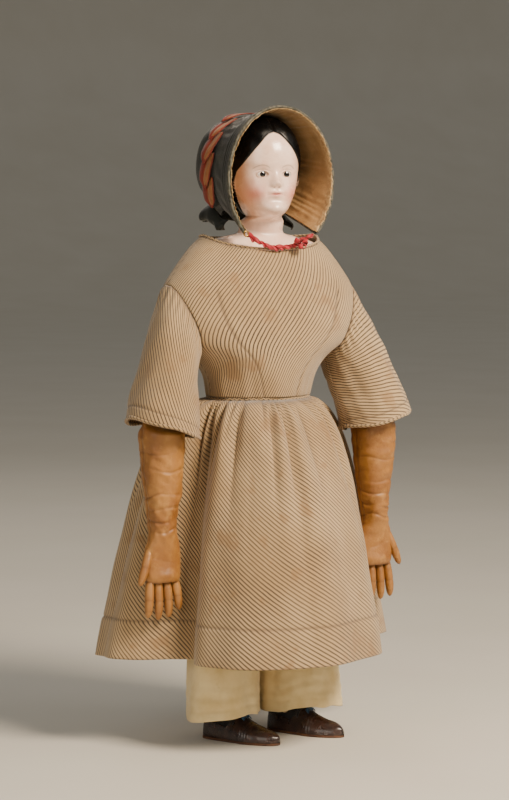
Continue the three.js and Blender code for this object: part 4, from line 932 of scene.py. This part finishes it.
def arm_points(side, angle, t, inset):
    """Leather arm from the flat elbow seam (t 0) over forearm and wrist to the knuckles (t 1)."""
    arm = np.maximum(ARM_RADIUS * curve(ARM_SHARES, t), WRIST_RADIUS)
    hand = ease((t - WRIST) / 0.14)
    width = mix(arm, PALM_HALF_WIDTH * curve(PALM_SHARES, t), hand)
    depth = mix(mix(0.2, arm, ease(t / 0.1)), PALM_DEPTH, hand)
    fade = ease(t / 0.12)
    x, y = section(angle, width - inset * fade, np.maximum(depth - inset * fade, 0.2), 2.1)
    return spots(side * (mix(ARM_X, PALM_X, t) + x), mix(ELBOW_Y, HAND_Y, t) + y,
                 mix(ELBOW_Z - 0.3, PALM_Z, t))


def digit(node, body, start, end, radius, bend):
    """One stuffed finger: a tube from seam to tip, swelling at the joints and curled a little forward, with
    dark lines at its seam, its joints and near its tip."""
    t = np.linspace(0, 1, 41)
    curl = np.array([0, -1, 0]) * bend * np.sin(np.pi * t[:, None] ** 1.4)
    path = mix(np.array(start), np.array(end), t[:, None]) + curl
    points = capped(tube(path, radius * curve(FINGER_SHAPE, t), 20))
    t = np.concatenate([[0], t, [1]])
    line = 0.7 * bump(t, 0.05) + 0.4 * bump(t - 0.5, 0.025) + 0.25 * bump(t - 0.8, 0.02)
    piece(f"{node}_leather", points, ARM_LEATHER, body, node,
          marks={"crease": np.repeat(line[:, None], points.shape[1], 1)})


for name, side in SIDES:
    angle, t = round_grid(181, 112)
    slack, dark = np.zeros_like(t), np.zeros_like(t)
    for k, (place, depth) in enumerate(WRINKLES):
        line = place + 0.016 * np.sin(angle + k * 1.7) + 0.009 * np.sin(3 * angle + k)
        partly = np.clip(0.45 + 0.6 * np.sin(angle + k * 2.1) + 0.2 * np.sin(3 * angle + k), 0, 1)
        fold = bump(t - line, 0.0075) * partly
        slack = slack + 1.1 * depth * fold - 0.35 * depth * bump(t - line - 0.02, 0.014)
        dark = np.maximum(dark, 0.5 * depth * fold)
    lumps = 0.8 * waves(angle * 2.5, t * 16, 71 + side) + 0.45 * waves(angle * 6, t * 60, 73 + side)
    palm_hollow = 1.6 * bump(angle, 0.7) * bump(t - 0.87, 0.06)
    mound = -1.4 * bump(angle, 0.9) * bump(t - 0.955, 0.03)
    scallop = 1.3 * bump(t - 1.0, 0.022)
    at_sides = np.abs(np.sin(angle)) - 1
    seam = 0.7 * bump(at_sides, 0.004) * ease(t / 0.1)
    inset = slack - lumps * (1 - 0.5 * ease((t - WRIST) / 0.2)) + palm_hollow + mound + scallop + seam
    arm = arm_points(side, angle, t, inset)
    dark = np.clip(dark + 0.8 * bump(t - 1.0, 0.012) + 0.35 * bump(at_sides, 0.003), 0, 1)
    body = f"{name}_forearm"
    piece(f"{name}_leather_forearm", np.concatenate([arm, closing(arm[-1])], 0), ARM_LEATHER, body,
          f"{name}_leather_arm",
          marks={"crease": np.concatenate([dark, dark[-1:]], 0)})
    for word, place, length in FINGERS:
        x = side * (PALM_X + place * FINGER_STEP)
        digit(f"{name}_{word}_finger", body, (x, HAND_Y, PALM_Z + 1.0),
              (x + side * place * 2.6, HAND_Y - 2, PALM_Z - length), FINGER_RADIUS, 1.6)
    digit(f"{name}_thumb", body, (side * (PALM_X + 16.5), HAND_Y, PALM_Z + 40),
          (side * (PALM_X + 33), HAND_Y - 5, PALM_Z - 2), THUMB_RADIUS, 1.2)


# Stuffed cotton body, hidden by the dress at rest.

# Rings of the torso below and above the chest: height, half width and half depth.
TORSO_BELOW = ((HIP_FOLD_Z + 0.3, 60, 0.3), (390, 60.4, 26), (412, 60, 48))
TORSO_ABOVE = ((567, 90, 43), (580, 80, 37), (586, 40, 20))
HIP_HALF_WIDTH, HIP_DEPTH, LEG_RADIUS = 75, 38, 35
# Place down the piece and share of its size there.
HIP_SHARES = ((0, 0.006), (0.3, 0.5), (0.62, 1), (0.85, 0.72), (1, 0.006))
LEG_SHARES = ((0, 1, 0.006), (0.06, 1, 0.66), (0.16, 1, 1), (0.4, 0.9, 0.92), (0.65, 0.74, 0.76),
              (0.83, 0.5, 0.5))
RING_ANGLE = np.linspace(-np.pi, np.pi, 121)


def smooth_rings(places, rings, rows):
    """Rings between given ones: a cubic through each point's places down the piece."""
    places, rings = np.asarray(places, float), np.asarray(rings, float)
    slope = np.gradient(rings, places, axis=0)
    return hermite(places, rings, slope, np.linspace(places[0], places[-1], rows))


def oval_ring(x, z, half_width, half_depth, squareness=2.1):
    """One level rounded oval."""
    dx, dy = section(RING_ANGLE, half_width, half_depth, squareness)
    return spots(x + dx, dy, z)


torso = [oval_ring(0, *row) for row in TORSO_BELOW]
torso += [bodice_points(RING_ANGLE, np.full(121, z), 6.0) for z in (440, 470, 500, 530, 556)]
torso += [oval_ring(0, *row) for row in TORSO_ABOVE]
torso_points = smooth_rings([ring[0, 2] for ring in torso], torso, 90)
for _, side in SIDES:
    beyond = np.maximum(past_armhole(torso_points, side) + 1.5, 0)
    torso_points = torso_points - beyond[..., None] * AWAY * (side, 1, 1)
piece("stuffed_torso", capped(torso_points), BODY_COTTON, "trunk", "torso_bag")

hips = [oval_ring(0, mix(HIP_FOLD_Z - 0.3, LEG_SEAM_Z + 0.3, t), HIP_HALF_WIDTH, HIP_DEPTH * share, 2.3)
        for t, share in HIP_SHARES]
hip_points = smooth_rings([t for t, _ in HIP_SHARES], hips, 50)
piece("stuffed_seat", capped(hip_points), BODY_COTTON, "hips", "hip_bag")

for name, side in SIDES:
    cuts = [sleeve_points(side, RING_ANGLE, np.full(121, t), np.full(121, 13.0)) for t in (0.02, 0.3, 0.55)]
    for rise, share in ((18, 1), (9, 0.6), (0.3, 0.008)):
        cuts.append(spots(side * (ARM_X + 25.4 * np.cos(RING_ANGLE)),
                          ELBOW_Y + ARM_RADIUS * share * np.sin(RING_ANGLE), np.full(121, ELBOW_Z + rise)))
    upper = smooth_rings((0, 0.3, 0.55, 0.78, 0.88, 1), cuts, 70)
    piece(f"{name}_stuffed_upper_arm", capped(upper), BODY_COTTON, f"{name}_arm",
          f"{name}_upper_arm")
    x = side * LEG_X
    leg = [oval_ring(x, mix(LEG_SEAM_Z - 0.3, 9, t), LEG_RADIUS * wide, LEG_RADIUS * deep, 2.0)
           for t, wide, deep in LEG_SHARES]
    leg += [oval_ring(x, 51, 15, 15, 2.0), oval_ring(x, 12, 14.6, 14.6, 2.0)]
    leg_points = smooth_rings([row[0] for row in LEG_SHARES] + [0.87, 1], leg, 110)
    piece(f"{name}_stuffed_leg", capped(leg_points), BODY_COTTON, f"{name}_leg",
          f"{name}_leg_bag")


# Pantalettes and their tapes.

TAPE_Z, PANTALETTE_HEM = 291.64, 31.0
GATHERED_RADIUS, PANTALETTE_RADIUS, TAPE_RADIUS = 38.2, 42.0, 37.6
for name, side in SIDES:
    angle, t = round_grid(131, 200)
    hem = PANTALETTE_HEM + 4 * np.cos(angle - np.radians(20)) + 2 * np.cos(3 * angle)
    hem = hem + 1.2 * waves(angle * 6, 0, 81 + side)
    gather = 1.3 * np.cos(30 * angle + 1.5 * np.sin(3 * angle)) * bump(t - 0.02, 0.06)
    fold = (1.6 * np.cos(5 * angle + side) - 1.6) * ease(2 * t)
    drape = 1.8 * waves(angle * 4.5, t * 3, 83 + side) + 0.5 * waves(angle * 9, t * 14, 85 + side)
    puddle = 0.5 * np.cos(2 * np.pi * (t - 0.86) / 0.055 + 2 * np.sin(angle * 2 + side)) * bump(t - 0.9, 0.06)
    hem_tuck = 0.7 * bump(t - 0.955, 0.006)
    flare = 20 * t * np.maximum(0, np.cos(angle - side * np.radians(59))) ** 2
    reach = mix(GATHERED_RADIUS, PANTALETTE_RADIUS, ease(3 * t)) + gather + fold + drape * ease(2 * t)
    reach = reach + puddle - hem_tuck + flare
    deep = 1 + 0.1 * t * np.maximum(0, np.cos(angle))
    points = spots(side * LEG_X + reach * np.sin(angle), -reach * deep * np.cos(angle),
                   mix(TAPE_Z - 0.3, hem, t))
    leg_cloth = piece(f"{name}_cotton_pantalette", points, PANTALETTE_COTTON, f"{name}_leg",
                      f"{name}_pantalette", thick=0.8)
    angle, t = round_grid(9, 160)
    band = TAPE_RADIUS - 0.5 * (2 * t - 1) ** 2 + 0.25 * np.cos(26 * angle)
    points = spots(side * LEG_X + band * np.sin(angle), -band * np.cos(angle), TAPE_Z + 5 * (1 - t))
    piece(f"{name}_drawn_tape", points, PANTALETTE_COTTON, f"{name}_leg",
          f"{name}_pantalette_tape", thick=1.2)


# Shoes: arch sections along the foot, turned out with it.

SHOE_WIDTHS = [(0, 0.42), (0.05, 0.74), (0.16, 0.9), (0.32, 0.94), (0.46, 0.98), (0.6, 1.02), (0.76, 0.88),
               (0.9, 0.58), (1, 0.2)]
SHOE_HEIGHTS = [(0, 0.5), (0.05, 0.82), (0.16, 1), (0.32, 1), (0.46, 0.78), (0.6, 0.5), (0.76, 0.36),
                (0.9, 0.28), (1, 0.18)]
HEEL_BACK, SHOE_LENGTH, SHOE_HALF_WIDTH, SHOE_HEIGHT, UPPER_Z = 28.62, 106.0, 19, 42, 3.3
# Rings of the sole from the middle of its top to the middle underneath: share of the outline and height.
SOLE_RINGS = ((0.0, 3.0), (0.97, 3.0), (1.0, 2.5), (1.0, 0.4), (0.975, 0.0), (0.0, 0.0))
LACE_END = 0.72


def rounded_ends(t, heel, toe):
    """1 along the foot, falling round to 0 over the given lengths at heel and toe."""
    at_heel, at_toe = [np.sqrt(np.clip(1 - (1 - np.minimum(1, share)) ** 2, 0, 1))
                       for share in (t / heel, (1 - t) / toe)]
    return at_heel * at_toe


def shoe_points(t, k, grow, side):
    """Shoe upper: place t from heel to toe, k from -1 to 1 over the arch, turned out with the foot."""
    blunt = rounded_ends(t, 0.06, 0.07)
    width = (SHOE_HALF_WIDTH * curve(SHOE_WIDTHS, t) + grow) * mix(0.35, 1, blunt)
    height = (SHOE_HEIGHT * curve(SHOE_HEIGHTS, t) + grow) * mix(0.6, 1, blunt)
    a = np.pi / 2 * k
    narrow = 1 - 0.28 * np.cos(a) * height / SHOE_HEIGHT
    local = spots(width * np.sin(a) * narrow, HEEL_BACK - t * SHOE_LENGTH,
                  UPPER_Z + height * np.abs(np.cos(a)) ** 0.75)
    return turn_about_z(local, FOOT_TURN) + (side * LEG_X, 0, 0)


def sole_points(side):
    """Sole: the shoe's outline in level rings from the middle out over the edge and back underneath."""
    along = np.linspace(0, 1, 121)
    t = np.concatenate([along, along[::-1]])
    width = (SHOE_HALF_WIDTH * curve(SHOE_WIDTHS, t) + 1.2) * mix(0.3, 1, rounded_ends(t, 0.06, 0.06))
    x = np.concatenate([width[:121], -width[121:]])
    outline = np.stack([x, HEEL_BACK - t * SHOE_LENGTH], -1)
    outline = np.concatenate([outline, outline[:1]])
    middle = np.array([0, HEEL_BACK - 0.5 * SHOE_LENGTH])
    rings = [np.concatenate([middle + (outline - middle) * share, np.full((len(outline), 1), z)], 1)
             for share, z in SOLE_RINGS]
    return turn_about_z(np.array(rings), FOOT_TURN) + (side * LEG_X, 0, 0)


for name, side in SIDES:
    body = f"{name}_leg"
    piece(f"{name}_leather_sole", sole_points(side), SOLE_LEATHER, body, f"{name}_shoe_sole")
    k, t = grid(-1, 1, 61, 61, 0.52)
    quarter = shoe_points(t, k, 0.5 * waves(k * 4, t * 30, 91 + side), side)
    under = shoe_points(t[:, :2], k[:, [-1, 0]], 0 * t[:, :2], side)
    piece(f"{name}_cloth_quarter", [quarter, under], SHOE_CLOTH, body, f"{name}_shoe_quarter")
    k, s = grid(-1, 1, 81, 81)
    t = mix(0.5 - 0.2 * np.abs(k) ** 3, 1.0, s)
    flex = 0.5 * np.cos(2 * np.pi * t / 0.035 + 2 * k) * bump(t - 0.62, 0.05)
    flex = flex + 0.35 * waves(k * 3, t * 25, 95 + side)
    vamp = shoe_points(t, k, 0.9 + flex + 0.5 * bump(s, 0.02), side)
    toe_floor = shoe_points(t[:, :2], k[:, [-1, 0]], 0.9 + 0 * t[:, :2], side)
    piece(f"{name}_leather_vamp", [vamp, toe_floor], VAMP_LEATHER, body, f"{name}_shoe_vamp")
    up, back = grid(0, 1, 13, 81)
    for way in (-1, 1):
        strip = shoe_points(mix(0.004, 0.36, back), way * mix(1.0, 0.74 + 0.1 * back, up), 0.7 + 0 * back,
                            side)
        piece(f"{name}_heel_foxing_{'in' if way * side < 0 else 'out'}", strip, VAMP_LEATHER, body,
              thick=0.7)
    k = np.linspace(-LACE_END, LACE_END, 61)
    ties = []
    for place, slant in ((0.44, 0.0), (0.47, 0.012), (0.47, -0.012)):
        lace = shoe_points(place + slant * np.sin(np.pi * k / LACE_END), k, 1.6 + 0 * k, side)
        ties.append(capped(tube(lace, 0.85, 10)))
    piece(f"{name}_tied_lace", ties, LACE_CORD, body, f"{name}_shoe_lace")
    across, along = grid(-1, 1, 9, 33)
    along = 2 * along - 1
    throat = shoe_points(np.full_like(along, 0.555) + 0.022 * across, 0.3 * along,
                         1.8 + 2.2 * np.abs(np.sin(np.pi * along)), side)
    piece(f"{name}_blue_ribbon_bow", throat, BLUE_RIBBON, body, f"{name}_shoe_ribbon",
          marks={"edge": np.abs(across)}, thick=0.5)


# Twisted ribbon tie on the neckline, with its bow at the doll's left.

TIE_HALF_SPAN, TIE_Y, TIE_LOW_Z, TIE_SAG = 45, -51.6, 591.7, 16
# Loops of the bow: which way each runs out, which way it puffs, its length and half its width.
BOW_LOOPS = (((-0.55, -0.75, 0.35), (0.2, -0.5, 0.8), 12, 3.6), ((0.8, -0.5, 0.15), (0, -0.7, 0.7), 12, 3.6),
             ((0.35, -0.7, 0.75), (0.8, -0.5, 0.1), 10, 3.2), ((-0.1, -0.95, -0.25), (0.9, 0, 0.4), 11, 3.2),
             ((0.6, -0.6, -0.35), (0.2, -0.4, 0.9), 11, 3.0))


def tie_path(k):
    """Line from the right corner of the brim to the left one, lowest at the middle of the neckline."""
    return spots(TIE_HALF_SPAN * k, TIE_Y + 0 * k, TIE_LOW_Z + TIE_SAG * k ** 2)


def ribbon_bow_loop(centre, way, out, long, wide):
    """One bow loop: a ribbon carried out along a line and back, its width standing across. Gives its points
    and its dyed edges."""
    across, along = grid(-1, 1, 9, 41)
    way, out = np.array(way, float), np.array(out, float)
    way, out = way / np.linalg.norm(way), out / np.linalg.norm(out)
    reach = long * np.sin(np.pi * along)
    puff = 0.32 * long * np.sin(2 * np.pi * along) * (0.6 + 0.4 * np.sin(np.pi * along))
    pinch = wide * mix(0.35, 1, np.sin(np.pi * along))
    points = np.array(centre) + reach[..., None] * way + puff[..., None] * out
    return points + (pinch * across)[..., None] * np.cross(way, out), np.abs(across)


k = np.linspace(-1, 1, 181)
strands = []
for strand in range(3):
    phase = 2 * np.pi * strand / 3
    wind = 16 * k + phase
    wander = 1.5 * waves(k * 9, strand, 101 + strand)
    centre = tie_path(k) + spots(0 * k, 1.2 * np.cos(wind), 1.5 * np.sin(wind) + 0.5 * wander)
    rings = capped(tube(centre, 2.3 + 0.3 * waves(k * 14, strand, 111), 12, 0.28, 9 * k + phase))
    edges = np.abs(np.cos(np.linspace(0, 2 * np.pi, 13)))[None, :] * np.ones((len(rings), 1))
    strands.append((rings, edges))
ribbon_piece("twisted_ribbon_tie", strands, TIE_RIBBON, "trunk", "bonnet_tie")

bow_at = tie_path(np.array([0.5]))[0] + (0, -2.0, 1.0)
ribbon_piece("ribbon_tie_bow", [ribbon_bow_loop(bow_at, *loop) for loop in BOW_LOOPS], TIE_RIBBON, "trunk",
             "tie_bow", 0.5)


# Floor, light and camera.

def pale_floor():
    """Matt painted board, faintly uneven."""
    material, tree, shader, place = begin("pale_floor_paint", Roughness=0.75)
    uneven = add(tree, "TexNoise", {"Vector": place, "Scale": 3.0, "Detail": 2.0, "Roughness": 0.55})
    tree.links.new(layered(tree, "D6D2C8", [(uneven, "CDC8BC")]), shader.inputs["Base Color"])
    return material


def floor_points():
    """Level floor that sweeps up behind in one smooth bend."""
    x, s = grid(-14000, 14000, 9, 60)
    y = mix(-12000, 15000, np.minimum(1, s / 0.75))
    z = 9000 * ease((s - 0.6) / 0.4) ** 1.5
    return spots(x, y, z - 0.05)


floor_mesh = floor_points()
number = np.arange(floor_mesh.shape[0] * floor_mesh.shape[1]).reshape(floor_mesh.shape[:2])
quads = np.stack([number[:-1, :-1], number[:-1, 1:], number[1:, 1:], number[1:, :-1]], -1)
floor_data = bpy.data.meshes.new("studio_floor")
floor_data.from_pydata((floor_mesh.reshape(-1, 3) * MM).tolist(), [], quads.reshape(-1, 4).tolist())
floor_data.shade_smooth()
floor_data.materials.append(pale_floor())
floor = bpy.data.objects.new("studio_floor", floor_data)
bpy.context.collection.objects.link(floor)


def aim(made, at):
    """Turns a light or camera to look at a point."""
    direction = np.array(at) - np.array(made.location)
    flat = np.hypot(direction[0], direction[1])
    made.rotation_euler = (np.arctan2(flat, -direction[2]), 0, np.arctan2(-direction[0], direction[1]))


def soft_light(name, place, at, size, power, tint):
    """Square studio softbox."""
    data = bpy.data.lights.new(name, "AREA")
    data.energy, data.size, data.color = power, size, colour(tint)[:3]
    made = bpy.data.objects.new(name, data)
    made.location = place
    bpy.context.collection.objects.link(made)
    aim(made, at)


soft_light("key_softbox", (0.5, -1.75, 1.85), (0, 0, 0.62), 0.8, 112, "FFEBD2")
soft_light("fill_softbox", (-2.4, -1.5, 1.3), (0, 0, 0.5), 1.4, 22, "FFF3E4")
soft_light("right_softbox", (1.9, -1.7, 1.6), (0, 0, 0.45), 1.4, 14, "FFF6EA")
soft_light("back_softbox", (0.7, 2.3, 2.0), (0, 0, 0.45), 1.2, 8, "FFF6EA")

world = bpy.data.worlds.new("soft_room")
world.use_nodes = True
world.node_tree.nodes["Background"].inputs["Color"].default_value = colour("F2EFE8")
world.node_tree.nodes["Background"].inputs["Strength"].default_value = 0.28
bpy.context.scene.world = world

# The photo's view, in metres: turned to the doll's right, seen from a little above the waist.
VIEW_TURN, VIEW_DISTANCE = np.radians(31), 3.1
VIEW_X, VIEW_Y, CAMERA_Z, LOOK_Z = -0.0036, 0.0022, 0.64, 0.408
camera_data = bpy.data.cameras.new("photo_camera")
camera_data.lens = 116.0
camera_data.clip_end = 50
camera = bpy.data.objects.new("photo_camera", camera_data)
camera.location = (-VIEW_DISTANCE * np.sin(VIEW_TURN) + VIEW_X, -VIEW_DISTANCE * np.cos(VIEW_TURN) + VIEW_Y,
                   CAMERA_Z)
bpy.context.collection.objects.link(camera)
aim(camera, (VIEW_X, VIEW_Y, LOOK_Z))
bpy.context.scene.camera = camera
